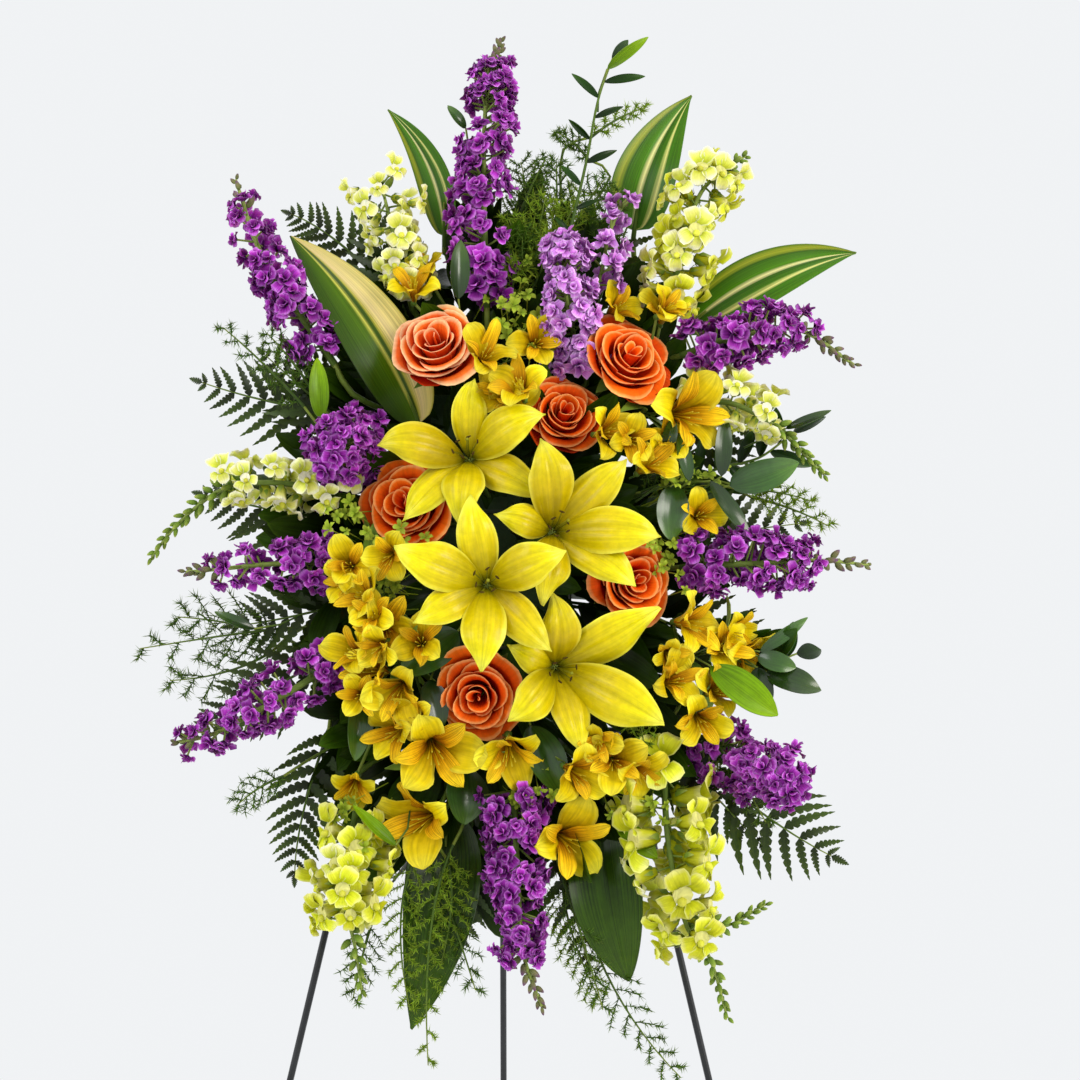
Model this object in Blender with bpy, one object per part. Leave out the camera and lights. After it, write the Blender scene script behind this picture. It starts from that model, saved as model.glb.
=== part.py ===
"""Standing funeral spray on a three-legged wire easel.

A block of floral foam in a plastic tray leans on the front legs of a wire easel and rests on its
cross bar. Lilies, roses, stock, snapdragons, alstroemeria, leaves, ferns, asparagus fern and ruscus
stand in holes in the foam. Each stem is one solid with what grows on it. The easel's rear leg
swings on a pin between the tops of the front legs.

Metres, +Z up, the viewer looks along +Y. The origin is on the floor under the middle of the object.
"""

import math
import random

import bmesh
import bpy
import numpy as np
from mathutils import Matrix, Vector
from mathutils.bvhtree import BVHTree

# Easel: a 54 inch wire easel of round rod
ROD_RADIUS = 0.003
ROD_SIDES = 10
SHARP_ANGLE = math.radians(50.0)
LEAN = math.radians(10.0)
SPLAY = 0.233
PIN_HEIGHT = 1.315
LEG_TOP_HALF_GAP = 0.014
LEG_ABOVE_PIN = 0.012
REAR_LEG_BACK = math.radians(16.0)
PIN_HALF_LENGTH = 0.0096
EYE_WIRE_RADIUS = 0.0026
EYE_RADIUS = 0.0064
EYE_STEPS = 12
WIRE_SIDES = 6
CROSS_BAR_OVERHANG = 0.012

# Foam block and its cage
FOAM_HEIGHT = 1.045
FOAM_Y = -0.137
FOAM_WIDTH = 0.120
FOAM_DEPTH = 0.080
FOAM_LENGTH = 0.280
TRAY_WALL = 0.0025
TRAY_RIM = 0.015
STRAP_WIDTH = 0.003
STRAP_LEVELS = (-0.084, 0.036, 0.084)
CORNER_BAR_INSET = 0.0004
TOUCH = 0.0003

# Holes in the foam, on a grid on each face, in metres from the middle of the face
HOLE_DEPTH = 0.025
CUTTER_PROUD = 0.002
HOLE_RADIUS = 0.0044
HOLE_SIGHT = 0.05
FRONT_COLUMNS = (-0.044, -0.022, 0.0, 0.022, 0.044)
FRONT_ROWS = tuple(0.024 * row for row in range(-5, 6))
SIDE_COLUMNS = (-0.010, 0.009, 0.028)
SIDE_ROWS = (-0.108, -0.060, -0.012, 0.012, 0.060, 0.108)
END_COLUMNS = (-0.033, -0.011, 0.011, 0.033)

# Stems
STEM_RADIUS = 0.0027
STEM_SIDES = 3
STEM_STRAIGHT = 0.008
STEM_BOWS = (0.008, 0.016, 0.026, 0.038)
STEM_AIM = 0.45
STEM_AIM_LIMIT = 0.10
STEM_SLIMMINGS = (1.0, 0.7, 0.45)
HOLES_TRIED = 6
EIGHTHS = tuple(math.pi / 4.0 * step for step in range(8))
AXIS_RADIUS = 0.0032
CORE_SHARE = 0.22
FLORET_OVERLAP = 0.0012
CLEARANCE = 0.0004

# The spray as the photograph shows it: a dome on the foam, seen from this far away
VIEW_DISTANCE = 3.2
SPRAY_HALF_WIDTH = 0.33
SPRAY_HALF_HEIGHT = 0.46
DOME_EDGE = 0.018
DOME_RISE = 0.100
GOLDEN_ANGLE = math.radians(137.5)
RIM_SLOPE = 0.25

# Rims of the small flowers: how far each point of the rim reaches, as a share of the radius
STOCK_RUFFLES = (1.0, 0.74, 1.05, 0.70, 1.0, 0.80)
SNAPDRAGON_LIPS = (1.05, 0.70, 1.05, 0.85, 0.85)
ALSTROEMERIA_PETALS = 6
ALSTROEMERIA_LEAVES = 2

# Linear red, green and blue, and the roughness. Nothing here is bare metal: the wire is painted
COLOURS = {
    "painted wire": (0.015, 0.016, 0.017, 0.45),
    "green plastic": (0.020, 0.090, 0.035, 0.50),
    "wet foam": (0.030, 0.110, 0.050, 0.95),
    "lily": (0.700, 0.560, 0.015, 0.50),
    "rose": (0.760, 0.130, 0.030, 0.60),
    "stock": (0.260, 0.040, 0.270, 0.65),
    "pale stock": (0.400, 0.130, 0.430, 0.65),
    "snapdragon": (0.840, 0.800, 0.420, 0.55),
    "alstroemeria": (0.680, 0.400, 0.010, 0.50),
    "striped leaf": (0.170, 0.210, 0.040, 0.45),
    "broad leaf": (0.035, 0.090, 0.012, 0.40),
    "leather fern": (0.012, 0.030, 0.008, 0.50),
    "asparagus fern": (0.120, 0.200, 0.030, 0.60),
    "ruscus": (0.020, 0.060, 0.010, 0.35),
}

# Where things are: x across and z up from the foam's middle, as seen from the front
LILIES = {
    "lily_top": dict(
        centre=(-0.030, 0.102), depth=0.142,
        tips=((-0.106, 0.102), (-0.022, 0.159), (0.040, 0.129),
              (0.043, 0.056), (-0.028, 0.049), (-0.084, 0.035)),
    ),
    "lily_middle": dict(
        centre=(-0.012, -0.018), depth=0.172,
        tips=((-0.091, 0.012), (-0.024, 0.058), (0.060, 0.009),
              (0.047, -0.079), (-0.014, -0.097), (-0.074, -0.054)),
    ),
    "lily_right": dict(
        centre=(0.055, 0.033), depth=0.152,
        tips=((0.037, 0.106), (0.112, 0.089), (0.142, 0.022),
              (0.121, -0.022), (0.039, -0.039), (-0.003, 0.041)),
    ),
    "lily_low": dict(
        centre=(0.058, -0.097), depth=0.142,
        tips=((0.048, -0.028), (0.142, -0.041), (0.146, -0.143),
              (0.073, -0.167), (0.009, -0.141), (0.009, -0.074)),
    ),
}
ROSES = {
    "rose_top_left": dict(centre=(-0.055, 0.190), depth=0.112, radius=0.041),
    "rose_top_right": dict(centre=(0.114, 0.178), depth=0.105, radius=0.040),
    "rose_centre": dict(centre=(0.057, 0.129), depth=0.100, radius=0.035),
    "rose_left": dict(centre=(-0.081, 0.050), depth=0.098, radius=0.041),
    "rose_right": dict(centre=(0.119, -0.018), depth=0.100, radius=0.038),
    "rose_low": dict(centre=(-0.018, -0.119), depth=0.108, radius=0.040),
}
# Spikes: x, z and how far the point stands in front of the dome, from where it shows to its tip
STOCKS = {
    "stock_top": dict(
        axis=((-0.011, 0.222, -0.030), (-0.014, 0.330, 0.0), (-0.012, 0.405, 0.0), (0.000, 0.457, 0.0)),
        florets=14, spread=0.037, buds=6,
    ),
    "stock_top_left": dict(
        axis=((-0.145, 0.172, -0.035), (-0.207, 0.264, 0.0), (-0.233, 0.334, 0.0)),
        florets=11, spread=0.033, buds=5,
    ),
    "stock_upper_right": dict(
        axis=((0.160, 0.180, -0.030), (0.205, 0.196, 0.01), (0.261, 0.196, 0.0), (0.311, 0.172, 0.0)),
        florets=9, spread=0.034, buds=5,
    ),
    "stock_left_front": dict(
        axis=((-0.120, 0.092, -0.065), (-0.132, 0.097, -0.030), (-0.140, 0.100, 0.010)),
        florets=12, spread=0.048, buds=0,
    ),
    "stock_left": dict(
        axis=((-0.125, 0.000, -0.050), (-0.200, -0.003, 0.005), (-0.250, -0.008, 0.0), (-0.275, -0.010, 0.0)),
        florets=10, spread=0.036, buds=5,
    ),
    "stock_low_left": dict(
        axis=((-0.135, -0.085, -0.040), (-0.200, -0.125, 0.01), (-0.250, -0.152, 0.0), (-0.284, -0.160, 0.0)),
        florets=11, spread=0.036, buds=5,
    ),
    "stock_right": dict(
        axis=((0.160, -0.006, -0.035), (0.215, -0.003, 0.01), (0.279, 0.000, 0.0), (0.324, -0.004, 0.0)),
        florets=11, spread=0.040, buds=4,
    ),
    "stock_low_right": dict(
        axis=((0.160, -0.150, -0.070), (0.215, -0.180, -0.025), (0.244, -0.190, 0.030)),
        florets=13, spread=0.045, buds=0,
    ),
    "stock_bottom": dict(
        axis=((0.013, -0.195, -0.030), (0.018, -0.290, 0.0), (0.022, -0.345, 0.0), (0.038, -0.392, 0.0)),
        florets=12, spread=0.036, buds=6,
    ),
}
PALE_STOCK = dict(
    axis=((0.072, 0.170, -0.040), (0.060, 0.225, 0.01), (0.058, 0.262, 0.02)),
    florets=10, spread=0.040, buds=0,
    branch=((0.085, 0.240, 0.0), (0.098, 0.292, 0.0), (0.112, 0.318, 0.0)),
)
SNAPDRAGONS = {
    "snapdragon_top_left": dict(
        axis=((-0.080, 0.235, -0.045), (-0.094, 0.290, 0.0), (-0.104, 0.330, 0.0)),
        florets=13, spread=0.036, buds=2,
    ),
    "snapdragon_top_right": dict(
        axis=((0.150, 0.222, -0.040), (0.160, 0.270, 0.0), (0.178, 0.325, 0.0), (0.216, 0.356, 0.0)),
        florets=11, spread=0.026, buds=5,
    ),
    "snapdragon_right": dict(
        axis=((0.165, 0.138, -0.040), (0.205, 0.138, 0.0), (0.245, 0.116, 0.0), (0.285, 0.076, 0.0)),
        florets=8, spread=0.026, buds=7,
    ),
    "snapdragon_left": dict(
        axis=((-0.136, 0.056, -0.045), (-0.190, 0.068, 0.0), (-0.240, 0.064, 0.0), (-0.280, 0.035, 0.0),
              (-0.306, 0.003, 0.0)),
        florets=10, spread=0.027, buds=7,
    ),
    "snapdragon_low_left": dict(
        axis=((-0.125, -0.215, -0.030), (-0.135, -0.290, 0.0), (-0.126, -0.340, 0.0), (-0.120, -0.380, 0.0)),
        florets=12, spread=0.028, buds=5,
    ),
    "snapdragon_low_right": dict(
        axis=((0.145, -0.185, -0.040), (0.150, -0.250, 0.0), (0.165, -0.320, 0.0), (0.186, -0.350, 0.0),
              (0.201, -0.402, 0.0)),
        florets=12, spread=0.027, buds=4,
    ),
}
# Alstroemeria: each trumpet as x, z, depth, radius
ALSTROEMERIAS = {
    "alstroemeria_top": dict(
        fork=(-0.010, 0.165, 0.070),
        trumpets=((-0.006, 0.188, 0.122, 0.018), (0.022, 0.160, 0.138, 0.019),
                  (0.034, 0.194, 0.116, 0.017), (-0.076, 0.246, 0.090, 0.017)),
    ),
    "alstroemeria_upper_right": dict(
        fork=(0.125, 0.130, 0.060),
        trumpets=((0.108, 0.226, 0.098, 0.015), (0.146, 0.226, 0.095, 0.017),
                  (0.173, 0.128, 0.112, 0.018), (0.137, 0.090, 0.128, 0.018),
                  (0.178, 0.042, 0.105, 0.015)),
    ),
    "alstroemeria_left": dict(
        fork=(-0.100, -0.020, 0.070),
        trumpets=((-0.132, -0.002, 0.128, 0.017), (-0.122, -0.028, 0.132, 0.017),
                  (-0.098, 0.003, 0.140, 0.016)),
    ),
    "alstroemeria_low_left": dict(
        fork=(-0.080, -0.085, 0.070),
        trumpets=((-0.100, -0.058, 0.130, 0.020), (-0.114, -0.094, 0.122, 0.020),
                  (-0.090, -0.118, 0.128, 0.019), (-0.068, -0.068, 0.138, 0.018),
                  (-0.096, -0.152, 0.112, 0.018), (-0.128, -0.200, 0.085, 0.013)),
    ),
    "alstroemeria_bottom": dict(
        fork=(-0.035, -0.165, 0.060),
        trumpets=((-0.055, -0.168, 0.125, 0.027), (-0.072, -0.228, 0.100, 0.026),
                  (0.010, -0.172, 0.120, 0.022)),
    ),
    "alstroemeria_low_right": dict(
        fork=(0.080, -0.180, 0.055),
        trumpets=((0.074, -0.189, 0.120, 0.020), (0.103, -0.176, 0.118, 0.020),
                  (0.126, -0.190, 0.108, 0.017), (0.066, -0.246, 0.095, 0.025)),
    ),
    "alstroemeria_right": dict(
        fork=(0.165, -0.085, 0.050),
        trumpets=((0.176, -0.054, 0.110, 0.019), (0.198, -0.074, 0.100, 0.019),
                  (0.223, -0.086, 0.085, 0.018), (0.160, -0.104, 0.112, 0.018),
                  (0.180, -0.142, 0.098, 0.018)),
    ),
}
# Broad leaves: base, middle and tip as x, z, depth, and the widest width
LEAVES = {
    "striped_leaf_top_left": dict(
        path=((-0.049, 0.285, 0.040), (-0.062, 0.345, 0.040), (-0.099, 0.396, 0.020)),
        width=0.027, kind="striped leaf",
    ),
    "striped_leaf_left": dict(
        path=((-0.085, 0.135, 0.060), (-0.120, 0.215, 0.085), (-0.184, 0.285, 0.060)),
        width=0.055, kind="striped leaf",
    ),
    "striped_leaf_top": dict(
        path=((0.118, 0.290, 0.030), (0.135, 0.355, 0.040), (0.168, 0.408, 0.020)),
        width=0.050, kind="striped leaf",
    ),
    "striped_leaf_right": dict(
        path=((0.160, 0.200, 0.040), (0.235, 0.250, 0.060), (0.313, 0.270, 0.030)),
        width=0.049, kind="striped leaf",
    ),
    "broad_leaf_bottom": dict(
        path=((-0.046, -0.225, 0.040), (-0.055, -0.320, 0.060), (-0.077, -0.412, 0.030)),
        width=0.062, kind="broad leaf",
    ),
    "broad_leaf_low_right": dict(
        path=((0.090, -0.215, 0.040), (0.096, -0.295, 0.060), (0.114, -0.370, 0.030)),
        width=0.062, kind="broad leaf",
    ),
}
# Fronds: ribs from base to tip as x, z, depth, the longest leaflet and the pairs of leaflets
FRONDS = {
    "fern_left": dict(
        ribs=(((-0.140, 0.128, 0.030), (-0.205, 0.140, 0.030), (-0.271, 0.158, 0.010)),),
        reach=0.045, pairs=9, kind="leather fern",
    ),
    "fern_top_left": dict(
        ribs=(((-0.110, 0.250, 0.020), (-0.150, 0.285, 0.020), (-0.190, 0.306, 0.010)),),
        reach=0.034, pairs=7, kind="leather fern",
    ),
    "fern_low_left": dict(
        ribs=(((-0.129, -0.036, 0.030), (-0.185, -0.050, 0.030), (-0.242, -0.060, 0.010)),),
        reach=0.042, pairs=8, kind="leather fern",
    ),
    "fern_bottom_left": dict(
        ribs=(((-0.150, -0.150, 0.030), (-0.172, -0.220, 0.030), (-0.182, -0.290, 0.010)),),
        reach=0.040, pairs=8, kind="leather fern",
    ),
    "fern_bottom_right": dict(
        ribs=(((0.165, -0.170, 0.020), (0.235, -0.225, 0.025), (0.301, -0.266, 0.010)),),
        reach=0.055, pairs=9, kind="leather fern",
    ),
    "asparagus_top": dict(
        ribs=(((0.010, 0.235, 0.040), (0.022, 0.300, 0.050), (0.018, 0.350, 0.030)),
              ((0.030, 0.240, 0.035), (0.052, 0.290, 0.045), (0.072, 0.325, 0.020))),
        reach=0.032, pairs=8, kind="asparagus fern",
    ),
    "asparagus_left": dict(
        ribs=(((-0.189, -0.060, 0.020), (-0.240, -0.066, 0.020), (-0.317, -0.078, 0.000)),
              ((-0.200, -0.080, 0.005), (-0.240, -0.098, 0.005), (-0.290, -0.106, -0.005))),
        reach=0.032, pairs=8, kind="asparagus fern",
    ),
    "asparagus_bottom_left": dict(
        ribs=(((-0.050, -0.200, 0.095), (-0.062, -0.310, 0.085), (-0.062, -0.444, 0.030)),),
        reach=0.030, pairs=12, kind="asparagus fern",
    ),
    "asparagus_bottom_right": dict(
        ribs=(((0.065, -0.270, 0.030), (0.098, -0.370, 0.030), (0.160, -0.455, 0.010)),),
        reach=0.036, pairs=12, kind="asparagus fern",
    ),
}
# Ruscus twigs: the axis as x, z and how far in front of the dome
RUSCUS = {
    "ruscus_top": dict(
        axis=((0.060, 0.280, 0.0), (0.076, 0.350, 0.0), (0.086, 0.404, 0.0), (0.098, 0.440, 0.0)),
        leaves=8,
    ),
    "ruscus_right": dict(
        axis=((0.150, 0.060, -0.075), (0.190, 0.080, -0.055), (0.240, 0.085, -0.050), (0.279, 0.110, -0.040)),
        leaves=8,
    ),
    "ruscus_low_right": dict(
        axis=((0.185, -0.065, -0.060), (0.220, -0.080, -0.030), (0.255, -0.088, 0.0), (0.280, -0.080, 0.0)),
        leaves=8,
    ),
}


def clear_scene():
    """Remove what the file holds at the start."""
    for thing in list(bpy.data.objects):
        bpy.data.objects.remove(thing, do_unlink=True)


# The spray's own frame

def foam_axes():
    """The foam's up and front directions, leaning back with the front legs."""
    up = np.array((0.0, math.sin(LEAN), math.cos(LEAN)))
    front = np.array((0.0, -math.cos(LEAN), math.sin(LEAN)))
    return up, front


def in_foam(across, up_by, front_by):
    """A point given in the leaning foam's own axes, from its middle."""
    up, front = foam_axes()
    middle = np.array((0.0, FOAM_Y, FOAM_HEIGHT))
    return middle + np.array((across, 0.0, 0.0)) + up * up_by + front * front_by


def seen(x, z, depth):
    """The point that the front view shows at x, z, standing depth in front of the leaning plane."""
    back = math.tan(LEAN) * z
    nearer = 1.0 - (depth - back) / VIEW_DISTANCE
    return np.array((x * nearer, FOAM_Y + back - depth, FOAM_HEIGHT + z * nearer))


def dome(x, z):
    """How far the dome of flowers stands in front of the leaning plane at x, z."""
    inside = 1.0 - (x / SPRAY_HALF_WIDTH) ** 2 - (z / SPRAY_HALF_HEIGHT) ** 2
    return DOME_EDGE + DOME_RISE * math.sqrt(max(0.0, inside))


def outward(x, z):
    """The direction in which a bloom at x, z looks: at the viewer, and a little away from the middle."""
    return unit(np.array((1.6 * x, -0.42, 0.06 + 1.0 * z)))


def unit(vector):
    """The vector at length one."""
    return vector / np.linalg.norm(vector)


def square_to(direction, hint=(0.3, 0.5, 0.81)):
    """Two unit vectors at right angles to a direction and to each other."""
    side = unit(np.cross(direction, np.array(hint)))
    return side, np.cross(direction, side)


# Closed solids, each as its points and its triangles

def facing_out(points, triangles):
    """A closed solid with its triangles turned so that its volume counts as positive."""
    points = np.array(points, dtype=float)
    triangles = np.array(triangles, dtype=int)
    corners = points[triangles]
    volume = np.einsum("ij,ij->i", corners[:, 0], np.cross(corners[:, 1], corners[:, 2])).sum()
    if volume < 0.0:
        triangles = triangles[:, ::-1]
    return points, triangles


def loft(rings):
    """A solid through rings of points in order. A ring of one point closes the solid to a tip."""
    points = []
    triangles = []
    starts = []
    for ring in rings:
        starts.append(len(points))
        points.extend(ring)
    for index in range(len(rings) - 1):
        here, there = starts[index], starts[index + 1]
        count = max(len(rings[index]), len(rings[index + 1]))
        for side in range(count):
            after = (side + 1) % count
            if len(rings[index]) == 1:
                triangles.append((here, there + after, there + side))
            elif len(rings[index + 1]) == 1:
                triangles.append((here + side, here + after, there))
            else:
                triangles.append((here + side, here + after, there + after))
                triangles.append((here + side, there + after, there + side))
    for ring, start, turn in ((rings[0], starts[0], 1), (rings[-1], starts[-1], -1)):
        for side in range(1, len(ring) - 1):
            triangles.append((start, start + side + 1, start + side)[::turn])
    return facing_out(points, triangles)


def tube(path, radii, sides):
    """A rod along a path: a ring of points square to the path at each of its points."""
    path = [np.array(point, dtype=float) for point in path]
    rings = []
    side = None
    for index, point in enumerate(path):
        before = path[max(index - 1, 0)]
        after = path[min(index + 1, len(path) - 1)]
        along = unit(after - before)
        if side is None:
            side = square_to(along)[0]
        side = unit(side - along * np.dot(side, along))
        other = np.cross(along, side)
        turns = [2.0 * math.pi * step / sides for step in range(sides)]
        if radii[index] == 0.0:
            rings.append([point])
        else:
            rings.append([point + radii[index] * (math.cos(t) * side + math.sin(t) * other) for t in turns])
    return loft(rings)


def box(low, high):
    """A box between two corners given in the leaning foam's axes."""
    corners = [(x, v, n) for n in (low[2], high[2]) for x, v in
               ((low[0], low[1]), (high[0], low[1]), (high[0], high[1]), (low[0], high[1]))]
    placed = [in_foam(*corner) for corner in corners]
    return loft([placed[:4], placed[4:]])


def blade(path, widths, thickness, face, cup=0.0, wave=0.0):
    """A leaf or petal: a thin diamond section along a path, its edges raised by cup and waved.

    Both faces are split along the same diagonals, so they can't cross where the edge waves.
    """
    points = []
    triangles = []
    rows = []
    for index, centre in enumerate(path):
        along = unit(path[min(index + 1, len(path) - 1)] - path[max(index - 1, 0)])
        side = unit(np.cross(along, face))
        lift = np.cross(side, along)
        half = widths[index] / 2.0
        start = len(points)
        if half == 0.0:
            points.append(centre)
            rows.append((start, start, start, start))
            continue
        ripple = wave * (-1.0) ** index
        points.append(centre - side * half + lift * (cup * half + ripple))
        points.append(centre + lift * thickness / 2.0)
        points.append(centre + side * half + lift * (cup * half - ripple))
        points.append(centre - lift * thickness / 2.0)
        rows.append((start, start + 1, start + 2, start + 3))
    for (l0, t0, r0, b0), (l1, t1, r1, b1) in zip(rows, rows[1:]):
        candidates = ((l0, l1, t0), (t0, l1, t1), (t0, r1, r0), (t0, t1, r1),
                      (l0, b0, l1), (b0, b1, l1), (b0, r0, r1), (b0, r1, b1))
        triangles.extend(c for c in candidates if len(set(c)) == 3)
    for row, turn in ((rows[0], 1), (rows[-1], -1)):
        if row[0] != row[1]:
            triangles.append((row[0], row[1], row[3])[::turn])
            triangles.append((row[1], row[2], row[3])[::turn])
    return facing_out(points, triangles)


def star(base, direction, length, reaches, hollow, turn=0.0):
    """A lobed flower: a cone from its base to a rim whose points reach out by turns.

    Its face is sunk by hollow, or raised where hollow is negative. A point that reaches less also
    stands a little further back.
    """
    side, other = square_to(direction)
    widest = max(reaches)
    rim = []
    for step, reach in enumerate(reaches):
        angle = turn + 2.0 * math.pi * step / len(reaches)
        rise = RIM_SLOPE * (reach - widest)
        out = math.cos(angle) * side + math.sin(angle) * other
        rim.append(base + direction * (length + rise) + reach * out)
    return loft([[base], rim, [base + direction * (length - hollow)]])


def frond(rib, reach, pairs, thickness, face, slim, forward):
    """A thin plate cut to its rib into pairs of leaflets, longest below the middle of the rib."""
    points = []
    triangles = []
    stations = [along_path(rib, step / pairs) for step in range(pairs + 1)]
    upper = []
    lower = []
    for index, centre in enumerate(stations):
        upper.append(len(points))
        points.append(centre + face * thickness / 2.0)
        lower.append(len(points))
        points.append(centre - face * thickness / 2.0)
    tip = len(points)
    points.append(stations[-1] + unit(stations[-1] - stations[-2]) * reach * 0.35)
    for sign in (-1.0, 1.0):
        edge = []
        for index, centre in enumerate(stations):
            along = unit(stations[min(index + 1, pairs)] - stations[max(index - 1, 0)])
            side = unit(np.cross(along, face)) * sign
            edge.append(len(points))
            points.append(centre + side * slim)
            if index < pairs:
                part = (index + 0.5) / pairs
                length = reach * (0.35 + 0.65 * math.sin(math.pi * min(1.0, 0.28 + 0.72 * part)) ** 0.8)
                middle = (centre + stations[index + 1]) / 2.0
                edge.append(len(points))
                points.append(middle + side * length + along * length * forward - face * length * 0.12)
        for index in range(pairs):
            near, out, far = edge[2 * index], edge[2 * index + 1], edge[2 * index + 2]
            for rail, turn in ((upper, 1), (lower, -1)):
                flip = int(turn * sign)
                triangles.append((rail[index], near, out)[::flip])
                triangles.append((rail[index], out, rail[index + 1])[::flip])
                triangles.append((rail[index + 1], out, far)[::flip])
        for rail, turn in ((upper, 1), (lower, -1)):
            flip = int(turn * sign)
            triangles.append((rail[pairs], edge[-1], tip)[::flip])
        flip = int(sign)
        triangles.append((upper[0], lower[0], edge[0])[::flip])
    return facing_out(points, triangles)


def along_path(path, share):
    """The point at a share of a path's length."""
    steps = [np.linalg.norm(b - a) for a, b in zip(path, path[1:])]
    left = share * sum(steps)
    for start, end, step in zip(path, path[1:], steps):
        if left <= step or end is path[-1]:
            return start + (end - start) * min(1.0, left / step)
        left -= step
    return path[-1]


def curve(first, bend, last, count):
    """Points on the smooth arc from first to last that leans towards bend."""
    shares = np.linspace(0.0, 1.0, count)[:, None]
    return list((1 - shares) ** 2 * first + 2 * shares * (1 - shares) * bend + shares ** 2 * last)


# Keeping the pieces clear of each other, and fusing each node into one body

class Crowd:
    """All solids placed so far, as one tree that a new solid is tested against."""

    def __init__(self):
        self.points = np.zeros((0, 3))
        self.triangles = np.zeros((0, 3), dtype=int)
        self.tree = None

    def add(self, solid):
        points, triangles = solid
        self.triangles = np.vstack((self.triangles, triangles + len(self.points)))
        self.points = np.vstack((self.points, points))
        self.tree = BVHTree.FromPolygons(self.points.tolist(), self.triangles.tolist())

    def holds(self, point):
        """Whether a point is inside a solid: a ray from it crosses the surfaces an odd number of times."""
        origin = Vector(point)
        direction = Vector((0.31, 0.52, 0.80)).normalized()
        crossings = 0
        while crossings < 99:
            hit = self.tree.ray_cast(origin, direction)[0]
            if hit is None:
                break
            crossings += 1
            origin = hit + direction * 1e-6
        return crossings % 2 == 1

    def clears(self, solid, margin=CLEARANCE):
        """Whether a solid, swollen by the margin, touches nothing placed so far."""
        if self.tree is None:
            return True
        points, triangles = solid
        corners = points[triangles]
        face_normals = np.cross(corners[:, 1] - corners[:, 0], corners[:, 2] - corners[:, 0])
        normals = np.zeros_like(points)
        for column in range(3):
            np.add.at(normals, triangles[:, column], face_normals)
        normals /= np.maximum(np.linalg.norm(normals, axis=1, keepdims=True), 1e-12)
        swollen = points + normals * margin
        tree = BVHTree.FromPolygons(swollen.tolist(), triangles.tolist())
        if tree.overlap(self.tree):
            return False
        return not self.holds(swollen[0])


CROWD = Crowd()


def material(kind):
    """The Principled material of one kind of piece."""
    if kind in bpy.data.materials:
        return bpy.data.materials[kind]
    red, green, blue, roughness = COLOURS[kind]
    made = bpy.data.materials.new(kind)
    made.use_nodes = True
    shader = made.node_tree.nodes["Principled BSDF"]
    shader.inputs["Base Color"].default_value = (red, green, blue, 1.0)
    shader.inputs["Roughness"].default_value = roughness
    shader.inputs["Metallic"].default_value = 0.0
    made.diffuse_color = (red, green, blue, 1.0)
    return made


def mesh_object(name, solid, collection):
    """A mesh object of one closed solid."""
    points, triangles = solid
    mesh = bpy.data.meshes.new(name)
    mesh.from_pydata(points.tolist(), [], triangles.tolist())
    mesh.update()
    thing = bpy.data.objects.new(name, mesh)
    collection.objects.link(thing)
    return thing


def boolean_with(base, solids, operation, solver):
    """Join solids to an object, or cut them out of it, by one Boolean on a collection."""
    scene = bpy.context.scene
    helpers = bpy.data.collections.new("helpers")
    scene.collection.children.link(helpers)
    for solid in solids:
        mesh_object("helper", solid, helpers)
    step = base.modifiers.new(operation.lower(), "BOOLEAN")
    step.operation = operation
    step.operand_type = "COLLECTION"
    step.collection = helpers
    step.solver = solver
    graph = bpy.context.evaluated_depsgraph_get()
    joined = bpy.data.meshes.new_from_object(base.evaluated_get(graph))
    base.modifiers.clear()
    base.data = joined
    for helper in list(helpers.objects):
        bpy.data.objects.remove(helper, do_unlink=True)
    bpy.data.collections.remove(helpers)


def keep_largest_body(mesh):
    """Triangulate a mesh and delete loose scraps that no longer join its largest body."""
    work = bmesh.new()
    work.from_mesh(mesh)
    bmesh.ops.triangulate(work, faces=work.faces[:])
    left = set(work.faces)
    bodies = []
    while left:
        body = set()
        edge_of_search = [left.pop()]
        while edge_of_search:
            face = edge_of_search.pop()
            body.add(face)
            for edge in face.edges:
                for neighbour in edge.link_faces:
                    if neighbour in left:
                        left.remove(neighbour)
                        edge_of_search.append(neighbour)
        bodies.append(body)
    bodies.sort(key=len, reverse=True)
    for scrap in bodies[1:]:
        bmesh.ops.delete(work, geom=list(scrap), context="FACES")
    work.to_mesh(mesh)
    work.free()


def node(name, solids, kind):
    """One named object: its solids fused into one body, and added to the crowd."""
    made = mesh_object(name, solids[0], bpy.context.scene.collection)
    if len(solids) > 1:
        boolean_with(made, solids[1:], "UNION", "MANIFOLD")
        keep_largest_body(made.data)
    made.data.materials.clear()
    made.data.materials.append(material(kind))
    points = np.zeros(3 * len(made.data.vertices))
    made.data.vertices.foreach_get("co", points)
    made.data.calc_loop_triangles()
    triangles = np.array([list(t.vertices) for t in made.data.loop_triangles], dtype=int)
    CROWD.add((points.reshape(-1, 3), triangles))
    return made


# Easel

def leg_plane_offset():
    """How far the front legs' plane lies behind the foam's middle, along the foam's front axis."""
    return -(FOAM_DEPTH / 2 + TOUCH + TRAY_WALL + TOUCH + ROD_RADIUS)


def pin_centre():
    """The middle of the pin that the rear leg swings on."""
    rise = (PIN_HEIGHT - FOAM_HEIGHT - leg_plane_offset() * math.sin(LEAN)) / math.cos(LEAN)
    return in_foam(0.0, rise, leg_plane_offset())


def rod(name, start, end):
    """A straight round rod, cut level where it stands on the floor."""
    along = unit(end - start)
    side, other = square_to(along, hint=(0.0, 1.0, 0.0))
    rings = []
    for point in (start, end):
        ring = []
        for step in range(ROD_SIDES):
            turn = 2.0 * math.pi * step / ROD_SIDES
            corner = point + ROD_RADIUS * (math.cos(turn) * side + math.sin(turn) * other)
            if point[2] == 0.0:
                corner = corner - along * (corner[2] / along[2])
            ring.append(corner)
        rings.append(ring)
    return round_off(node(name, [loft(rings)], "painted wire"))


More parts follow.
